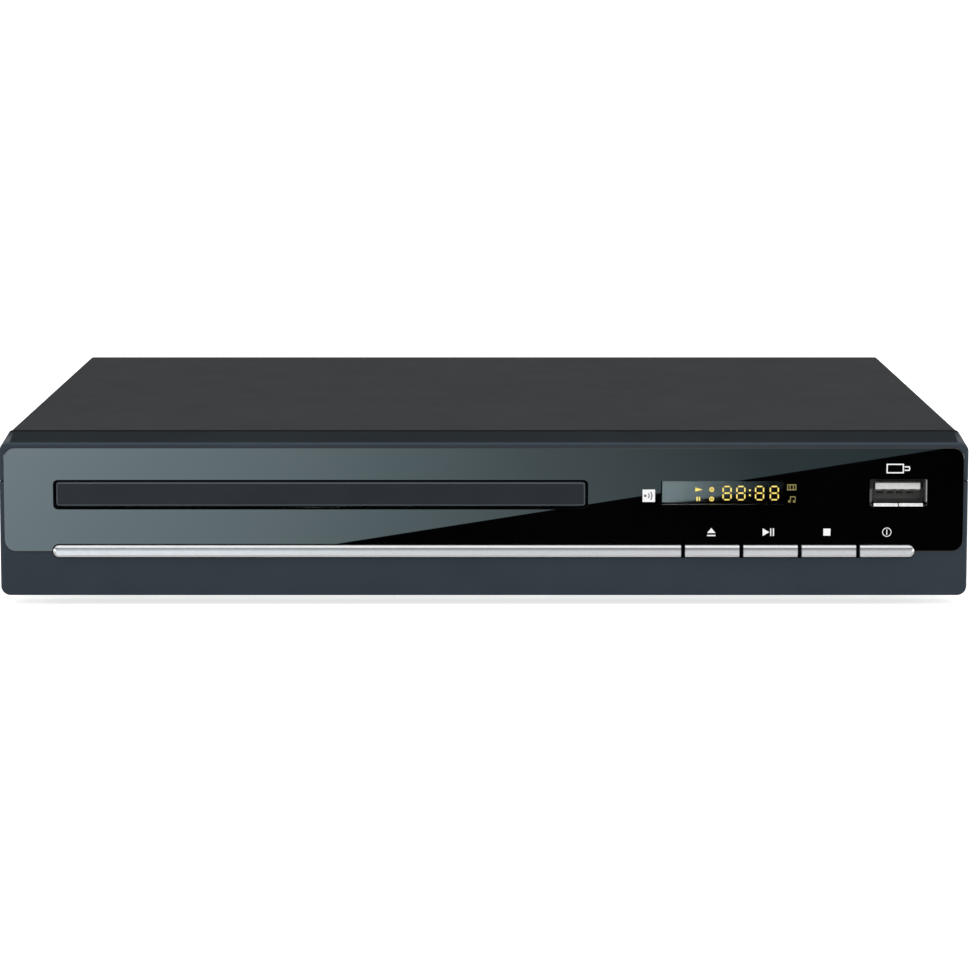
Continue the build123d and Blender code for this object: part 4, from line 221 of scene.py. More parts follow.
def uneven_gloss(tree, shader, low, high, size, stretch=(1, 1, 1)):
    """Roughness that wanders between two values."""
    value = spread(tree, speckle(tree, size, 2.0, stretch), low, high)
    tree.links.new(value, shader.inputs["Roughness"])


# Finishes that several pieces share

# Mould grain, paint flake and grinding lines are too fine to show at their real size.
# Here and below they are drawn coarser, 0.2 to 0.8 mm across.

def moulded(name, dark, light, low, high, grain, depth, **sockets):
    """Injection-moulded plastic with the fine spark texture of its mould."""
    material, tree, shader = finish(name, dark, low, **sockets)
    mottled(tree, shader, dark, light, 18.0)
    uneven_gloss(tree, shader, low, high, 6.0)
    relief(tree, shader, speckle(tree, grain, 4.0), depth)
    return material


def sheet_metal(name, dark, light, low, high):
    """Plated sheet steel: soft cloudy patches with faint rolling lines along its length."""
    material, tree, shader = finish(name, dark, low, 1.0)
    cell = 3.5
    cells = add(tree, "ShaderNodeTexVoronoi", {"Vector": where(tree), "Scale": 1 / cell, "Randomness": 1.0})
    patch = both(tree, cells.outputs["Distance"], patches(tree, 12.0))
    colour_by(tree, shader, blend(tree, patch, dark, light))
    uneven_gloss(tree, shader, low, high, 2.5, (1, 0.15, 1))
    relief(tree, shader, speckle(tree, 0.6, 2.0, (1, 0.1, 1)), 0.004)
    return material


def ground_rod(name, colour, low, high):
    """Ground steel: bright, with fine rings round the rod."""
    material, tree, shader = finish(name, colour, low, 1.0)
    mottled(tree, shader, colour, "#d6d8d9", 0.8, (0.2, 1, 0.2))
    uneven_gloss(tree, shader, low, high, 0.5, (0.2, 1, 0.2))
    relief(tree, shader, speckle(tree, 0.35, 2.0, (0.1, 1, 0.1)), 0.003)
    return material


def black_rubber(name, dark, light):
    """Moulded rubber: no shine, a dry bloom on it."""
    material, tree, shader = finish(name, dark, 0.85, Specular_IOR_Level=0.25)
    mottled(tree, shader, dark, light, 4.0)
    uneven_gloss(tree, shader, 0.78, 0.95, 2.0)
    relief(tree, shader, speckle(tree, 0.45, 4.0), 0.02)
    return material


def powder_coat(name, dark, light, low, high, **sockets):
    """Fine-texture powder coat: tiny soft bumps about 0.7 mm apart under a dull film."""
    material, tree, shader = finish(name, dark, low, **sockets)
    mottled(tree, shader, dark, light, 30.0)
    uneven_gloss(tree, shader, low, high, 9.0)
    fine, peel = speckle(tree, 0.7), speckle(tree, 2.2, 1.0)
    height = add(tree, "ShaderNodeMath", {0: fine, 1: peel}, operation="ADD").outputs[0]
    relief(tree, shader, height, 0.01)
    return material


def circuit_board(name, mask, track, hole):
    """Solder mask over copper tracks, seen as paler lines, with rows of tinned holes."""
    material, tree, shader = finish(name, mask, 0.35, Specular_IOR_Level=0.5)
    tracks = {"Vector": where(tree), "Scale": 0.22, "Mortar Size": 0.028, "Brick Width": 1.4,
              "Row Height": 0.42, "Color1": tone(mask), "Color2": tone(mask), "Mortar": tone(track)}
    grid = add(tree, "ShaderNodeTexBrick", tracks)
    cells = add(tree, "ShaderNodeTexVoronoi", {"Vector": where(tree), "Scale": 0.28, "Randomness": 0.35})
    dot = before(tree, cells.outputs["Distance"], 0.10, 0.13)
    colour_by(tree, shader, blend(tree, dot, grid.outputs["Color"], hole))
    uneven_gloss(tree, shader, 0.28, 0.42, 5.0)
    relief(tree, shader, grid.outputs["Fac"], 0.03)
    return material


# Textured powder coat on the lid: dull enough to stay dark at a low angle.
lid_coat = powder_coat("charcoal powder coat", "#313335", "#333537", 0.8, 0.84, Specular_IOR_Level=0.02)
rear_coat = powder_coat("black powder coat", "#26282a", "#2b2d2f", 0.6, 0.72, Specular_IOR_Level=0.25)
# Zinc plate is pale grey and cloudy; the motors' cans are brighter and nickel is warmer.
zinc_steel = sheet_metal("zinc-plated steel", "#9b9ea1", "#b6b9bb", 0.3, 0.42)
motor_can = sheet_metal("plated motor can", "#a7a9ab", "#babcbe", 0.22, 0.3)
nickel = sheet_metal("nickel plate", "#b9b7b0", "#cac8c2", 0.14, 0.22)
ground_steel = ground_rod("ground steel", "#c3c5c6", 0.14, 0.22)
# Black plastics inside the case, from satin to nearly matt.
inner_abs = moulded("black ABS", "#141517", "#1a1b1d", 0.4, 0.5, 0.5, 0.012)
tray_abs = moulded("black ABS, matt mould", "#17181a", "#1d1e20", 0.5, 0.62, 0.45, 0.02)
socket_nylon = moulded("black glass-filled nylon", "#111213", "#191a1b", 0.48, 0.6, 0.35, 0.015)
switch_body = moulded("black switch body", "#151617", "#1d1e1f", 0.45, 0.55, 0.4, 0.01)
display_body = moulded("black display body", "#0f1011", "#161718", 0.4, 0.5, 0.5, 0.008)
spinner = moulded("dark grey nylon", "#1c1d1f", "#242628", 0.42, 0.52, 0.4, 0.01)
# Chip bodies: flat black with a grey bloom.
epoxy = moulded("moulded epoxy", "#101112", "#1a1b1c", 0.55, 0.7, 0.25, 0.01)
# Acetal gears: milky white with a waxy sheen.
acetal = moulded("natural acetal", "#dcdad2", "#e6e4dc", 0.3, 0.4, 0.6, 0.006,
                 Subsurface_Weight=0.1, Subsurface_Scale=MM)
foot_rubber = black_rubber("black rubber", "#0e0f0f", "#161717")
damper_rubber = black_rubber("blue-grey butyl rubber", "#1a2230", "#222b3a")
belt_rubber = black_rubber("belt rubber", "#0c0c0c", "#141414")
green_board = circuit_board("green solder mask", "#14432a", "#1f5a38", "#b9b9ae")
brown_board = circuit_board("brown phenolic board", "#7a5a2e", "#8a683a", "#b9b9ae")

# Black cast acrylic, polished: no colour of its own, so it shows what lies in front of it.
window_acrylic, tree, shader = finish("black polished acrylic", "#020203", 0.02, IOR=1.49)
mottled(tree, shader, "#020203", "#040405", 40.0)
uneven_gloss(tree, shader, 0.003, 0.01, 25.0)
# Clear acrylic lens with a coating that takes most of its shine away, lower in index than bare acrylic.
# The lit figures and the glass behind it show through.
lens_acrylic, tree, shader = finish("coated clear acrylic", "#eef3f4", 0.01, IOR=1.1,
                                    Transmission_Weight=1.0)
uneven_gloss(tree, shader, 0.0, 0.015, 20.0)
# Bright nickel on the socket's folded lip: pale, with fine scuffs.
lip_nickel, tree, shader = finish("bright nickel-plated lip", "#d3d4d5", 0.2, 1.0)
mottled(tree, shader, "#cdcecf", "#dadbdc", 1.2)
uneven_gloss(tree, shader, 0.16, 0.26, 0.9)
# Black oxide on steel screws: dark, with a faint oily shine.
oxide_screws, tree, shader = finish("black-oxide steel", "#1c1d1f", 0.36, 0.6)
mottled(tree, shader, "#18191b", "#242629", 1.0)
uneven_gloss(tree, shader, 0.3, 0.45, 0.8)
# Zinc on small screws: pale grey, spotted by the driver and the bath.
zinc_screws, tree, shader = finish("zinc-plated screws", "#b4b6b6", 0.28, 1.0)
mottled(tree, shader, "#a9abab", "#c2c4c4", 0.9)
uneven_gloss(tree, shader, 0.22, 0.36, 0.7)
# Tinned brass pins: warm white metal.
tinned_brass, tree, shader = finish("tinned brass", "#c9c3b2", 0.2, 1.0)
mottled(tree, shader, "#bdb7a6", "#d4cfc0", 0.8)
uneven_gloss(tree, shader, 0.14, 0.26, 0.6)
# Extruded aluminium: lines run up its length.
extruded, tree, shader = finish("extruded aluminium", "#bfc1c3", 0.3, 1.0)
mottled(tree, shader, "#b5b7b9", "#c9cbcd", 0.8, (1, 1, 0.05))
uneven_gloss(tree, shader, 0.24, 0.38, 0.7, (1, 1, 0.05))
relief(tree, shader, speckle(tree, 0.5, 2.0, (1, 1, 0.05)), 0.01)
# Die-cast sled: grainy grey metal.
die_cast, tree, shader = finish("die-cast zinc", "#6f7072", 0.5, 0.9)
mottled(tree, shader, "#66676a", "#7c7d7f", 2.0)
relief(tree, shader, speckle(tree, 0.5, 4.0), 0.02)
# Coated glass lens: blue-violet sheen.
coated_glass, tree, shader = finish("coated optical glass", "#c9d4ea", 0.02, IOR=1.52,
                                    Transmission_Weight=1.0, Coat_Weight=1.0, Coat_Tint=tone("#8f7ad8"))
uneven_gloss(tree, shader, 0.0, 0.03, 1.0)
# Infra-red pass plastic of the eye: wine black.
eye_plastic, tree, shader = finish("infra-red pass plastic", "#1d070b", 0.1, IOR=1.5)
mottled(tree, shader, "#1a060a", "#260a10", 1.5)


# Finishes that change from place to place on their piece

def slate_plastic():
    """Slate ABS, spark-eroded mould: even satin on the front, matt on the slope up to the lid.

    The slope is painted darker than the front, as shade, and the edge between them and the slope's two ends
    have paler painted highlights. Painted shade darkens the parting groove, the seam at the lid, the pocket
    behind the silver bar and the ledge that the display's lens lies on.
    """
    material, tree, shader = finish("slate ABS, satin mould", "#353d46", 0.55, Specular_IOR_Level=0.03)
    across, depth, height = axes(tree)
    top = BEZEL_HIGH[2]
    drift = patches(tree, 18.0, 2.0)
    # Painted highlight: a paler line along the edge where the front meets the slope.
    rim_highlight = near(tree, height, SLOPE_FOOT, full=0.12, gone=0.3)
    front_tone = blend(tree, rim_highlight, blend(tree, drift, "#343c44", "#373f47"), "#414950")
    # Painted highlights on the slope's two ends.
    slope_ends = both(tree, after(tree, apart(tree, across, 0.0), start=117.1, end=117.4),
                      before(tree, height, start=top - 1.4, end=top - 0.2))
    # The slope is painted darker than the front, as shade.
    slope_tone = blend(tree, slope_ends, blend(tree, drift, "#1b2125", "#1e2427"), "#50535a")
    on_slope = after(tree, height, start=SLOPE_FOOT + 0.17, end=SLOPE_FOOT + 0.41)
    # Painted shade: the parting groove, the seam at the lid, the pocket behind the bar and the ledge under
    # the lens are painted nearly black.
    groove = near(tree, height, GROOVE_HEIGHT, full=0.2, gone=0.24)
    seam = after(tree, height, start=top - 0.32, end=top - 0.2)
    pocket = both(tree, near(tree, height, BAR_HEIGHT, full=1.9, gone=1.95),
                  near(tree, across, 0.0, full=POCKET_HALF_WIDTH, gone=POCKET_HALF_WIDTH + 0.1))
    pocket = both(tree, pocket, after(tree, depth, start=FACE + 0.25, end=FACE + 0.65))
    ledge = both(tree, near(tree, height, LENS_HEIGHT, full=3.2, gone=3.3),
                 near(tree, across, DISPLAY_X, full=15.7, gone=15.9))
    painted_shade = either(tree, either(tree, groove, seam), either(tree, pocket, ledge))
    front_and_slope = blend(tree, on_slope, front_tone, slope_tone)
    colour_by(tree, shader, blend(tree, painted_shade, front_and_slope, "#0d1012"))
    tree.links.new(spread(tree, on_slope, 0.52, 0.75, 0.0, 1.0), shader.inputs["Roughness"])
    relief(tree, shader, speckle(tree, 0.6, 4.0), 0.008)
    return material


def door_paint():
    """Satin paint on ABS, a little smoother than the front round it, with a paler painted highlight on the
    rounded edge.
    """
    material, tree, shader = finish("dark satin paint on ABS", "#282c31", 0.46, Specular_IOR_Level=0.06)
    # Painted highlight: faces turned away from the front, on the rounded edge, are painted paler.
    rounded = after(tree, facing(tree)[1], start=-0.97, end=-0.85)
    flat = blend(tree, patches(tree, 18.0, 2.0), "#272b30", "#2a2e33")
    colour_by(tree, shader, blend(tree, rounded, flat, "#5a6168"))
    uneven_gloss(tree, shader, 0.42, 0.5, 6.0)
    relief(tree, shader, speckle(tree, 0.8, 4.0), 0.006)
    return material


def silver_paint():
    """Silver paint with fine flake on ABS: half mirror, half pale grey.

    The bar's bevels are painted paler, as painted highlights, with painted shade in a darker crease under
    the upper one.
    """
    material, tree, shader = finish("silver flake paint on ABS", "#c9cbcc", 0.34, 0.3,
                                    Coat_Weight=0.15, Coat_Roughness=0.15)
    height = axes(tree)[2]
    bar_foot, bar_top = BAR_LOW[2], BAR_HIGH[2]
    # Painted shade in the crease under the upper bevel, and painted highlights on both bevels.
    crease = near(tree, height, bar_top - 0.685, full=0.12, gone=0.68)
    bevels = either(tree, near(tree, height, bar_top - 0.105, full=0.3, gone=0.4),
                    near(tree, height, bar_foot + 0.145, full=0.3, gone=0.5))
    silver = blend(tree, crease, blend(tree, patches(tree, 0.35), "#c3c4c6", "#cacbcd"), "#828588")
    colour_by(tree, shader, blend(tree, bevels, silver, "#dfe0e0"))
    uneven_gloss(tree, shader, 0.28, 0.38, 1.5)
    relief(tree, shader, speckle(tree, 0.3, 2.0), 0.003)
    return material


def shell_nickel():
    """The socket's nickel-plated shell: bright outside, its floor painted dark as shade, darkest at the
    spring cuts.

    Its spread lips are painted grey and black as shade, and the one at the right has a pale painted
    highlight along its edge.
    """
    material, tree, shader = finish("bright nickel-plated shell", "#8d8f90", 0.2, 1.0,
                                    Specular_IOR_Level=0.0)
    across, depth, height = axes(tree)
    left, right, foot = SHELL_LOW[0], SHELL_HIGH[0], SHELL_LOW[2]
    plate = blend(tree, patches(tree, 1.2, 2.0), "#828485", "#97999a")
    # Painted shade: the floor inside the shell is painted dark, darker still in spots at the spring cuts.
    on_floor = both(tree, before(tree, height, start=foot + 1.0, end=foot + 1.1),
                    after(tree, depth, start=FACE + 0.25, end=FACE + 0.55))
    cuts = after(tree, speckle(tree, 1.1, 2.0, (1, 0.6, 1)), start=0.45, end=0.55)
    shell_tone = blend(tree, on_floor, plate, blend(tree, cuts, "#161615", "#454542"))
    # Painted shade on the lips, grey to nearly black, with a pale painted highlight in a line near the
    # right edge.
    lips = blend(tree, after(tree, height, start=foot + 4.25, end=foot + 4.45), "#5c5c5a", "#2b2b2b")
    zones = ((left + 1.375, left + 1.475, "#1c1c1c"), (right - 0.875, right - 0.475, "#464646"),
             (right - 0.375, right - 0.315, "#a6a6a6"), (right - 0.115, right - 0.075, "#0c0c0c"))
    for start, end, code in zones:
        lips = blend(tree, after(tree, across, start, end), lips, code)
    # Where this painted light and shade lies, the lips are not metallic.
    painted_lips = both(tree, before(tree, depth, start=FACE + 0.65, end=FACE + 0.85),
                after(tree, height, start=foot + 1.1, end=foot + 1.25))
    colour_by(tree, shader, blend(tree, painted_lips, shell_tone, lips))
    tree.links.new(before(tree, painted_lips, start=0.0, end=1.0), shader.inputs["Metallic"])
    uneven_gloss(tree, shader, 0.1, 0.22, 0.9)
    relief(tree, shader, speckle(tree, 0.4, 2.0), 0.004)
    return material


def tongue_nylon():
    """White nylon tongue, gold contacts under it; painted shade greys its lower edge and darkens its base,
    with spring shadows.
    """
    contact_top, shade_top, base_front, spring_height = 28.65, 28.97, -96.5, 27.3
    material, tree, shader = finish("white nylon tongue with gold contacts", "#e9e9e6", 0.35)
    across, depth, height = axes(tree)
    aside = apart(tree, across, SHELL_X)
    ways = either(tree, near(tree, aside, 3.5, full=0.6, gone=0.66),
                  near(tree, aside, 1.0, full=0.6, gone=0.66))
    # Painted shadows of the contact springs on the base.
    spring_shadows = either(tree, near(tree, aside, 3.75, full=0.8, gone=0.9),
                     near(tree, aside, 1.18, full=0.75, gone=0.85))
    spring_shadows = both(tree, spring_shadows, near(tree, height, spring_height, full=0.3, gone=0.4))
    gilt = blend(tree, patches(tree, 0.6), "#4c4230", "#5f543e")
    plain = blend(tree, patches(tree, 3.0), "#e4e4e1", "#eeeeeb")
    # Painted shade: the lower edge is grey, darker at the contact ways.
    nose = blend(tree, over(tree, shade_top, height), plain, blend(tree, ways, "#6b6b69", "#141413"))
    nose = blend(tree, over(tree, contact_top, height), nose, gilt)
    # Painted shade: the base is dark grey, with the painted spring shadows near black.
    base = blend(tree, spring_shadows, "#7c7c78", "#0b0b0a")
    colour_by(tree, shader, blend(tree, over(tree, depth, base_front), nose, base))
    return material


def can_sleeves():
    """Printed sleeves with the bare aluminium tops showing."""
    material, tree, shader = finish("shrunk sleeve on aluminium cans", "#141b2b", 0.3)
    top = over(tree, facing(tree)[2], 0.9)
    sleeve = blend(tree, patches(tree, 5.0), "#121826", "#1a2236")
    colour_by(tree, shader, blend(tree, top, sleeve, "#c4c6c8"))
    tree.links.new(top, shader.inputs["Metallic"])
    relief(tree, shader, speckle(tree, 0.8), 0.01)
    return material


def core_and_coil():
    """Ferrite core, seen on its upper faces, with yellow tape round the coil in its middle."""
    core_foot = 16.0
    material, tree, shader = finish("yellow tape and ferrite", "#c2a12e", 0.4)
    tape = blend(tree, patches(tree, 2.0, 2.0, (1, 0.2, 1)), "#b8972a", "#cdae3c")
    ferrite = blend(tree, patches(tree, 0.8), "#2a2b2c", "#3a3b3c")
    upper = blend(tree, over(tree, facing(tree)[2], 0.9), tape, ferrite)
    colour_by(tree, shader, blend(tree, over(tree, axes(tree)[2], core_foot), tape, upper))
    relief(tree, shader, speckle(tree, 0.9, 2.0, (1, 0.2, 1)), 0.02)
    return material


def flat_cable():
    """White strip with a fine line at each conductor, 1.25 mm apart."""
    pitch = 1.25
    material, tree, shader = finish("white flat cable", "#dadad6", 0.42)
    count = add(tree, "ShaderNodeMath", {0: axes(tree)[0], 1: pitch}, operation="DIVIDE").outputs[0]
    part_of = add(tree, "ShaderNodeMath", {0: count}, operation="FRACT").outputs[0]
    ridge = over(tree, part_of, 0.5)
    colour_by(tree, shader, blend(tree, ridge, "#cfcfca", "#e2e2de"))
    relief(tree, shader, ridge, 0.05)
    return material


def phono_inserts():
    """Phono sockets' nylon inserts, from -X on: orange for the digital one, then yellow, white and red."""
    material, tree, shader = finish("coloured nylon inserts", "#e0b52c", 0.4)
    across = axes(tree)[0]
    bands = "#d9691e"
    for start, code in ((30.0, "#e0b52c"), (51.0, "#e3e2dd"), (65.0, "#b3221f")):
        bands = blend(tree, over(tree, across, start), bands, code)
    dust = spread(tree, speckle(tree, 1.5), 0.0, 0.25)
    colour_by(tree, shader, blend(tree, dust, bands, "#3a3028"))
    relief(tree, shader, speckle(tree, 0.4), 0.01)
    return material


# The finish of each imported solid

silver = silver_paint()
NODE_FINISH = {
    "front_bezel": slate_plastic(), "front_window": window_acrylic, "display_lens": lens_acrylic,
    "trim_bar": silver, "eject_key": silver, "play_key": silver, "stop_key": silver, "power_key": silver,
    "tray_door": door_paint(), "usb_shell": shell_nickel(), "usb_tongue": tongue_nylon(),
    "display_module": display_body, "remote_eye": eye_plastic, "key_switches": switch_body,
    "top_cover": lid_coat, "rear_panel": rear_coat, "chassis": zinc_steel, "feet": foot_rubber,
    "lid_screws": oxide_screws, "inner_screws": zinc_screws,
    "jack_block": socket_nylon, "jack_sleeves": nickel, "jack_inserts": phono_inserts(),
    "hdmi_socket": nickel, "mains_inlet": socket_nylon, "inlet_pins": tinned_brass,
    "front_board": green_board, "main_board": green_board, "power_board": brown_board, "chips": epoxy,
    "capacitors": can_sleeves(), "transformer": core_and_coil(), "heat_sink": extruded,
    "ribbon_cables": flat_cable(),
    "loader_frame": inner_abs, "tray": tray_abs, "clamp_bridge": zinc_steel, "clamper": acetal,
    "clamp_magnet": nickel, "loading_motor": motor_can, "drive_belt": belt_rubber, "tray_gear": acetal,
    "pulley_gear": acetal, "motor_pulley": acetal, "cam_slider": acetal,
    "lift_frame": inner_abs, "drive_plate": zinc_steel, "dampers": damper_rubber,
    "damper_screws": zinc_screws, "spindle_motor": motor_can, "turntable": spinner,
    "disc_seat": foot_rubber, "rails": ground_steel, "rail_clips": inner_abs, "lead_screw": ground_steel,
    "sled_motor": motor_can, "pickup_sled": die_cast, "sled_nut": acetal, "lens_holder": inner_abs,
    "objective_lens": coated_glass,
}
for node, material in NODE_FINISH.items():
    body = frame["nodes"][node]
    if not body.data.materials:
        body.data.materials.append(material)
    for slot in body.material_slots:
        slot.material = material


# Inks and lit films

# Screen-printed ink: a thin flat film, barely raised.
white_ink, tree, shader = finish("white screen-print ink", "#ffffff", 0.5)
mottled(tree, shader, "#f8f9fa", "#ffffff", 0.6)
relief(tree, shader, speckle(tree, 0.2), 0.004)
dark_ink, tree, shader = finish("black screen-print ink", "#15171a", 0.5)
mottled(tree, shader, "#121417", "#1b1d20", 0.6)
gold_ink, tree, shader = finish("dull gold screen-print ink", "#8d8348", 0.5)
mottled(tree, shader, "#857b42", "#958b50", 0.6)
# Lit phosphor: warm yellow, a little brighter in places.
phosphor, tree, shader = finish("lit yellow phosphor", "#2a2610", 0.5, Emission_Strength=1.35)
tree.links.new(blend(tree, patches(tree, 0.7), "#f2cf52", "#fce07c"), shader.inputs["Emission Color"])
# The display's own glass has a metal film on it, which thins out towards the right, so its shine fades.
display_glass, tree, shader = finish("display cover glass", "#100f0f", 0.03, IOR=2.1,
                                     Specular_Tint=tone("#fff0ec"))
tree.links.new(spread(tree, axes(tree)[0], 2.68, 1.2, 48.0, 72.0), shader.inputs["IOR"])
uneven_gloss(tree, shader, 0.02, 0.05, 6.0)


# Shapes that the prints and figures are made of

PRINT_THICK = 0.03
LIT_DEPTH = 1.75
LIT_THICK = 0.05
LIT_FACE = FACE + LIT_DEPTH


def piece(name, mesh, material, body="case"):
    """Makes an object of a finished mesh, and lets it ride on a body."""
    made = mesh_object(name, mesh, material)
    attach(made, body)
    return made


def mesh_object(name, mesh, material):
    """An object at the origin, its faces turned outwards, with one material."""
    bmesh.ops.recalc_face_normals(mesh, faces=mesh.faces[:])
    data = bpy.data.meshes.new(name)
    mesh.to_mesh(data)
    mesh.free()
    data.materials.append(material)
    made = bpy.data.objects.new(name, data)
    bpy.context.scene.collection.objects.link(made)
    return made


def grow(mesh, faces, step):
    """Gives flat faces their thickness along a step (x, y, z)."""
    grown = bmesh.ops.extrude_face_region(mesh, geom=faces)
    moved = [v for v in grown["geom"] if isinstance(v, bmesh.types.BMVert)]
    bmesh.ops.translate(mesh, vec=Vector(step) * MM, verts=moved)


def soften(mesh, offset):
    """Rounds every edge by an offset."""
    bmesh.ops.bevel(mesh, geom=mesh.edges[:], offset=offset * MM, affect="EDGES", segments=2, profile=0.5,
                    material=-1)


def outline(mesh, corners, y, thick=PRINT_THICK):
    """One flat shape given by its corners (x, z), with its back on the plane y."""
    spots = [mesh.verts.new((x * MM, y * MM, z * MM)) for x, z in corners]
    grow(mesh, [mesh.faces.new(spots)], (0, -thick, 0))


def bar(mesh, x, z, width, height, y=WINDOW_FACE, thick=PRINT_THICK):
    """One flat upright rectangle about its middle."""
    w, h = width / 2, height / 2
    outline(mesh, ((x - w, z - h), (x + w, z - h), (x + w, z + h), (x - w, z + h)), y, thick)


def ring(mesh, x, z, outer, inner, y=WINDOW_FACE, thick=PRINT_THICK, steps=48):
    """A flat ring about its middle."""
    turn = Matrix.Translation((x * MM, y * MM, z * MM)) @ Matrix.Rotation(math.radians(90), 4, "X")
    rims = []
    for radius in (outer * MM, inner * MM):
        made = bmesh.ops.create_circle(mesh, cap_ends=False, segments=steps, radius=radius, matrix=turn)
        rims += {edge for vert in made["verts"] for edge in vert.link_edges}
    faces = bmesh.ops.bridge_loops(mesh, edges=rims)["faces"]
    grow(mesh, faces, (0, -thick, 0))


# Prints on the window

SYMBOL_HEIGHT = 18.4
EJECT_X, PLAY_X, STOP_X, POWER_X = 56.39, 69.12, 85.04, 99.9
BADGE_HEIGHT = 27.5


def key_symbols():
    """Eject, play and pause, stop and power over the four keys."""
    mesh = bmesh.new()
    z = SYMBOL_HEIGHT
    eject = ((EJECT_X - 1.05, z - 0.22), (EJECT_X + 1.05, z - 0.22), (EJECT_X, z + 1.05))
    outline(mesh, eject, WINDOW_FACE)
    bar(mesh, EJECT_X, z - 0.84, 2.1, 0.32)
    outline(mesh, ((PLAY_X, z - 0.96), (PLAY_X + 1.64, z), (PLAY_X, z + 0.96)), WINDOW_FACE)
    bar(mesh, PLAY_X + 2.0, z, 0.27, 1.92)
    bar(mesh, PLAY_X + 2.66, z, 0.3, 1.92)
    bar(mesh, STOP_X, z, 1.76, 1.76)
    ring(mesh, POWER_X, z, 1.14, 0.97)
    bar(mesh, POWER_X, z, 0.22, 1.3)
    return piece("key_symbols", mesh, white_ink)


def eye_badge():
    """A white square over the remote-control eye."""
    middle, side = 40.85, 3.1
    mesh = bmesh.new()
    bar(mesh, middle, BADGE_HEIGHT, side, side)
    return piece("eye_badge", mesh, white_ink)


def eye_mark():
    """Beams spreading from a dot, printed on the square."""
    dot_x, beam = 39.95, 0.24
    face = WINDOW_FACE - PRINT_THICK
    mesh = bmesh.new()
    ring(mesh, dot_x, BADGE_HEIGHT, 0.32, 0.1, face, steps=24)
    for tip in (0.95, 1.6):
        half, back = tip * 0.62, tip - 0.3
        spots = ((back, half), (back + beam, half), (tip + beam, 0),
                 (back + beam, -half), (back, -half), (tip, 0))
        outline(mesh, [(dot_x + x, BADGE_HEIGHT + z) for x, z in spots], face)
    return piece("eye_mark", mesh, dark_ink)


def port_symbol():
    """A plain drawing of a flat plug over the socket."""
    x, z, line = 102.12, 34.28, 0.3
    mesh = bmesh.new()
    for dz in (-1.05, 1.05):
        bar(mesh, x - 0.35, z + dz, 4.3, line)
    for dx in (-2.35, 1.65):
        bar(mesh, x + dx, z, line, 1.8)
    for dz in (-0.42, 0.42):
        bar(mesh, x + 2.6, z + dz, 1.3, line)
    bar(mesh, x + 3.2, z, line, 0.54)
    return piece("port_symbol", mesh, white_ink)


def format_marks():
    """A frame of film and a note, in dull gold beside the display."""
    x, film_z, note_z, line = 76.22, 29.6, 26.55, 0.24
    mesh = bmesh.new()
    for dz in (-0.62, 0.62):
        bar(mesh, x, film_z + dz, 2.3, line)
    for dx in (-1.03, -0.4, 0.4, 1.03):
        bar(mesh, x + dx, film_z, 0.22, 1.0)
    for head_x in (x - 0.55, x + 0.65):
        ring(mesh, head_x, note_z - 0.45, 0.34, 0.08, steps=20)
        bar(mesh, head_x + 0.25, note_z + 0.05, 0.18, 1.1)
    bar(mesh, x + 0.3, note_z + 0.68, 1.38, line)
    return piece("format_marks", mesh, gold_ink)


# The socket's lip, and the display's figures and glass

def socket_lip():
    """The socket shell's lower edge, two short flanges folded down and out so that they catch the light."""
    top, foot = 25.72, 24.95
    corners = ((FACE - 0.35, top), (FACE - 0.87, foot), (FACE - 0.35, foot))
    mesh = bmesh.new()
    for left, right in ((96.5, 102.5), (102.72, 108.7)):
        face = mesh.faces.new([mesh.verts.new((left * MM, y * MM, z * MM)) for y, z in corners])
        grow(mesh, [face], (right - left, 0, 0))
    bmesh.ops.recalc_face_normals(mesh, faces=mesh.faces[:])
    soften(mesh, 0.06)
    return piece("socket_lip", mesh, lip_nickel)


def sunk(x, z):
    """The spot at the figures' depth that shows at x, z on the face from the photograph's place."""
    distance, level = FACE - CAMERA_PLACE[1], CAMERA_PLACE[2]
    return x * (1 + LIT_DEPTH / distance), z - LIT_DEPTH * (level - z) / distance


def segment(mesh, x, z, length, upright):
    """One pointed bar of a figure."""
    half, thick = length / 2, 0.165
    spots = [(-half, 0), (-half + thick, -thick), (half - thick, -thick), (half, 0), (half - thick, thick),
             (-half + thick, thick)]
    if upright:
        spots = [(b, a) for a, b in spots]
    outline(mesh, [(x + a, z + b) for a, b in spots], LIT_FACE, LIT_THICK)


def lit_figures():
    """Four seven-bar figures with a colon, a play mark, a pause mark and two small discs."""
    mesh = bmesh.new()
    wide, tall = 0.98, 1.65
    for place in (60.22, 63.65, 68.27, 71.92):
        x, z = sunk(place, 28.15)
        for dz in (-tall, 0, tall):
            segment(mesh, x, z + dz, 1.5, False)
        for dx in (-wide, wide):
            for dz in (-tall / 2, tall / 2):
                segment(mesh, x + dx, z + dz, 1.22, True)
    x, z = sunk(65.87, 28.24)
    for dz in (-0.62, 0.62):
        bar(mesh, x, z + dz, 0.42, 0.42, LIT_FACE, LIT_THICK)
    x, z = sunk(53.21, 29.04)
    outline(mesh, ((x - 0.85, z - 0.5), (x + 0.95, z), (x - 0.85, z + 0.5)), LIT_FACE, LIT_THICK)
    x, z = sunk(53.1, 26.7)
    for dx in (-0.3, 0.3):
        bar(mesh, x + dx, z, 0.32, 1.05, LIT_FACE, LIT_THICK)
    for height in (29.04, 26.68):
        x, z = sunk(56.42, height)
        ring(mesh, x, z, 0.6, 0.36, LIT_FACE, LIT_THICK, 28)
        ring(mesh, x, z, 0.2, 0.06, LIT_FACE, LIT_THICK, 16)
    return piece("lit_figures", mesh, phosphor)


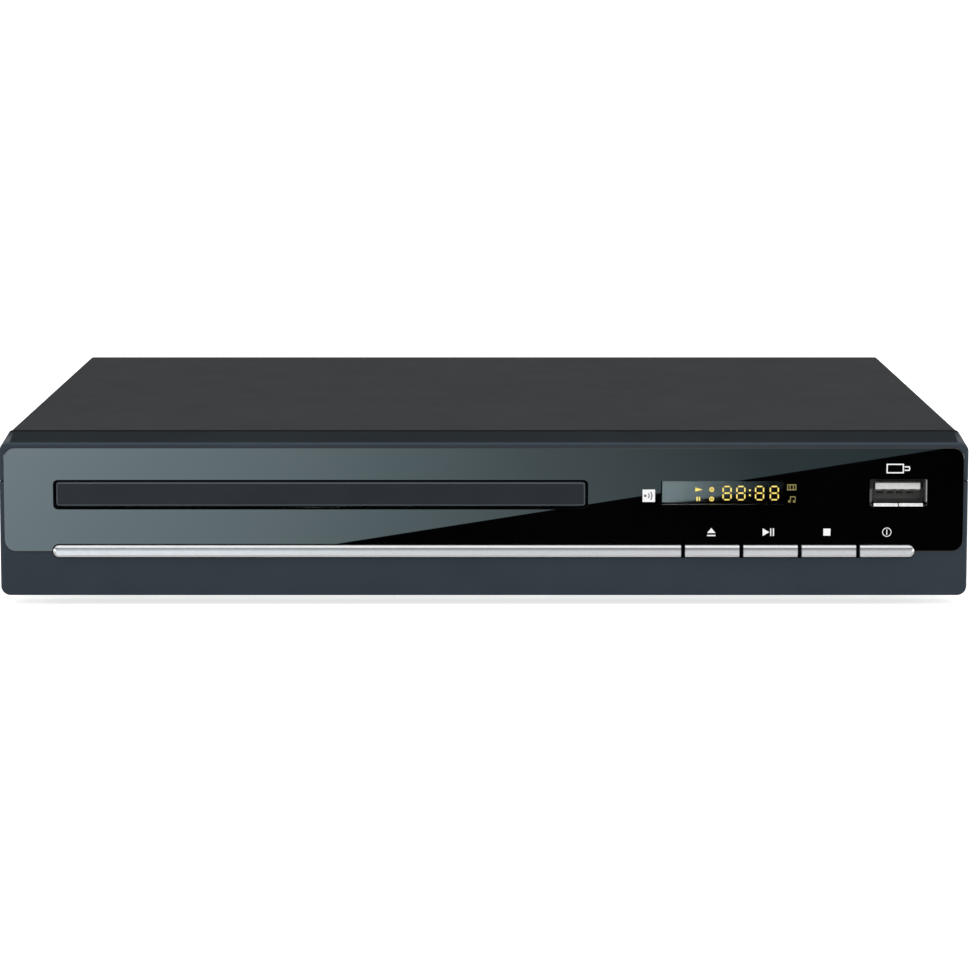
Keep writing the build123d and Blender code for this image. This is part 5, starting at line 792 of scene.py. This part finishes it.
def cover_glass():
    """The display's thick glass just behind the figures, tilted so that its reflection sits low."""
    width, depth, height = 30.1, 2.4, 5.3
    gap, tilt = 0.15, -0.56
    middle = Vector((DISPLAY_X, LIT_FACE + gap + depth / 2, LENS_HEIGHT))
    mesh = bmesh.new()
    made = bmesh.ops.create_cube(mesh, size=1.0)["verts"]
    bmesh.ops.scale(mesh, vec=Vector((width, depth, height)) * MM, verts=made)
    turn = Matrix.Rotation(math.radians(tilt), 3, "X")
    bmesh.ops.rotate(mesh, cent=(0, 0, 0), matrix=turn, verts=made)
    bmesh.ops.translate(mesh, vec=middle * MM, verts=made)
    soften(mesh, 0.03)
    return piece("cover_glass", mesh, display_glass)


key_symbols()
eye_badge()
eye_mark()
port_symbol()
socket_lip()
format_marks()
lit_figures()
cover_glass()


# Studio

FLOOR_REACH = 6000.0
CARD_NEAR, CARD_FAR, CARD_SIDE, CARD_HEIGHT = -189.0, -725.0, 330.0, 1.0
# The card's light from its left end to its right one, at parts of the way
CARD_LIGHT = ((0.0, (3.9, 4.9, 5.4)), (0.14, (3.2, 4.2, 4.6)), (0.29, (2.7, 3.5, 3.8)),
              (0.42, (2.0, 2.7, 2.9)), (0.56, (1.4, 1.85, 2.0)), (0.71, (0.95, 1.3, 1.4)),
              (0.8, (0.65, 0.95, 1.05)), (1.0, (0.5, 0.72, 0.8)))
# The edge of its lit area: y = slope * x + start
EDGE_SLOPE, EDGE_START = -1.1356, -250.4


def stage_plane(name, corners, z, material):
    """A flat sheet that isn't part of the player."""
    mesh = bmesh.new()
    mesh.faces.new([mesh.verts.new((x * MM, y * MM, z * MM)) for x, y in corners])
    made = mesh_object(name, mesh, material)
    return made


def seen_by(tree, *kinds):
    """One for rays of the kinds named, nothing for others."""
    path = add(tree, "ShaderNodeLightPath")
    seen = path.outputs[kinds[0]]
    for kind in kinds[1:]:
        seen = either(tree, seen, path.outputs[kind])
    return seen


def seen_directly(tree):
    """One for rays from the camera or by way of gloss or glass, nothing for plain light."""
    return seen_by(tree, "Is Camera Ray", "Is Glossy Ray", "Is Transmission Ray")


def pale_floor():
    """A matt white floor that stays white to the eye and keeps the shadow."""
    material, tree, shader = finish("matt white floor", "#e6e6e6", 0.9, Specular_IOR_Level=0.0)
    mottled(tree, shader, "#e4e4e4", "#e8e8e8", 200.0)
    shader.inputs["Emission Color"].default_value = (1, 1, 1, 1)
    strength = spread(tree, seen_directly(tree), 0.0, 0.7, 0.0, 1.0)
    tree.links.new(strength, shader.inputs["Emission Strength"])
    far = FLOOR_REACH
    return stage_plane("floor", ((-far, -far), (far, -far), (far, far), (-far, far)), 0.0, material)


def front_card():
    """A dark card with a lit area on it, lying in front of the player, which only gloss and glass see."""
    material = bpy.data.materials.new("card that gloss sees")
    material.use_nodes = True
    tree = material.node_tree
    tree.nodes.clear()
    x, y, _ = axes(tree)
    edge = add(tree, "ShaderNodeMath", {0: x, 1: EDGE_SLOPE, 2: EDGE_START}, operation="MULTIPLY_ADD")
    past = add(tree, "ShaderNodeMath", {0: edge.outputs[0], 1: y}, operation="SUBTRACT").outputs[0]
    lit = after(tree, past, start=-0.4, end=0.4)
    ramp = add(tree, "ShaderNodeValToRGB", {"Fac": after(tree, x, start=-150.0, end=150.0)})
    stops = ramp.color_ramp.elements
    (_, first), *between, (_, last) = CARD_LIGHT
    stops[0].color = (*first, 1)
    stops[1].color = (*last, 1)
    for place, colour in between:
        stops.new(place).color = (*colour, 1)
    glow = add(tree, "ShaderNodeEmission", {"Color": ramp.outputs["Color"], "Strength": lit})
    clear = add(tree, "ShaderNodeBsdfTransparent")
    seen = seen_by(tree, "Is Glossy Ray", "Is Transmission Ray")
    mixed = add(tree, "ShaderNodeMixShader", {0: seen, 1: clear.outputs[0], 2: glow.outputs[0]})
    add(tree, "ShaderNodeOutputMaterial", {"Surface": mixed.outputs[0]})
    corners = ((-CARD_SIDE, CARD_NEAR), (-CARD_SIDE, CARD_FAR),
               (CARD_SIDE, CARD_FAR), (CARD_SIDE, CARD_NEAR))
    card = stage_plane("front_card", corners, CARD_HEIGHT, material)
    card.visible_shadow = False
    return card


def plain_world():
    """White to the eye and to gloss, and a plain even light on everything else."""
    world = bpy.data.worlds.new("plain light")
    world.use_nodes = True
    tree = world.node_tree
    tree.nodes.clear()
    strength = spread(tree, seen_directly(tree), 0.68, 1.0, 0.0, 1.0)
    sky = add(tree, "ShaderNodeBackground", {"Color": (1, 1, 1, 1), "Strength": strength})
    add(tree, "ShaderNodeOutputWorld", {"Surface": sky.outputs[0]})
    bpy.context.scene.world = world


def soft_lamp(name, place, target, size, power):
    """A broad square lamp aimed at a spot, its power in watts."""
    data = bpy.data.lights.new(name, "AREA")
    data.size = size * MM
    data.energy = power
    lamp = bpy.data.objects.new(name, data)
    lamp.location = Vector(place) * MM
    aim = Vector(target) - Vector(place)
    lamp.rotation_euler = aim.to_track_quat("-Z", "Y").to_euler()
    bpy.context.scene.collection.objects.link(lamp)


def photo_camera():
    """The photograph's place: level with the middle, a little above, looking slightly down."""
    data = bpy.data.cameras.new("photo camera")
    data.lens = CAMERA_LENS
    data.sensor_width = CAMERA_FILM
    camera = bpy.data.objects.new("photo camera", data)
    camera.location = Vector(CAMERA_PLACE) * MM
    camera.rotation_euler = (math.radians(90 - CAMERA_TILT), 0, 0)
    bpy.context.scene.collection.objects.link(camera)
    bpy.context.scene.camera = camera


pale_floor()
front_card()
plain_world()
soft_lamp("lamp above", (-350, -500, 1500), (0, 0, 20), size=1400, power=5.0)
soft_lamp("lamp in front", (500, -1600, 900), (0, -100, 20), size=900, power=6.0)
soft_lamp("lamp at the left", (-800, -130, 100), (-120, -100, 20), size=300, power=3.0)
soft_lamp("lamp at the right", (800, -130, 100), (120, -100, 20), size=300, power=3.0)
photo_camera()
bpy.context.scene.view_settings.view_transform = "Standard"
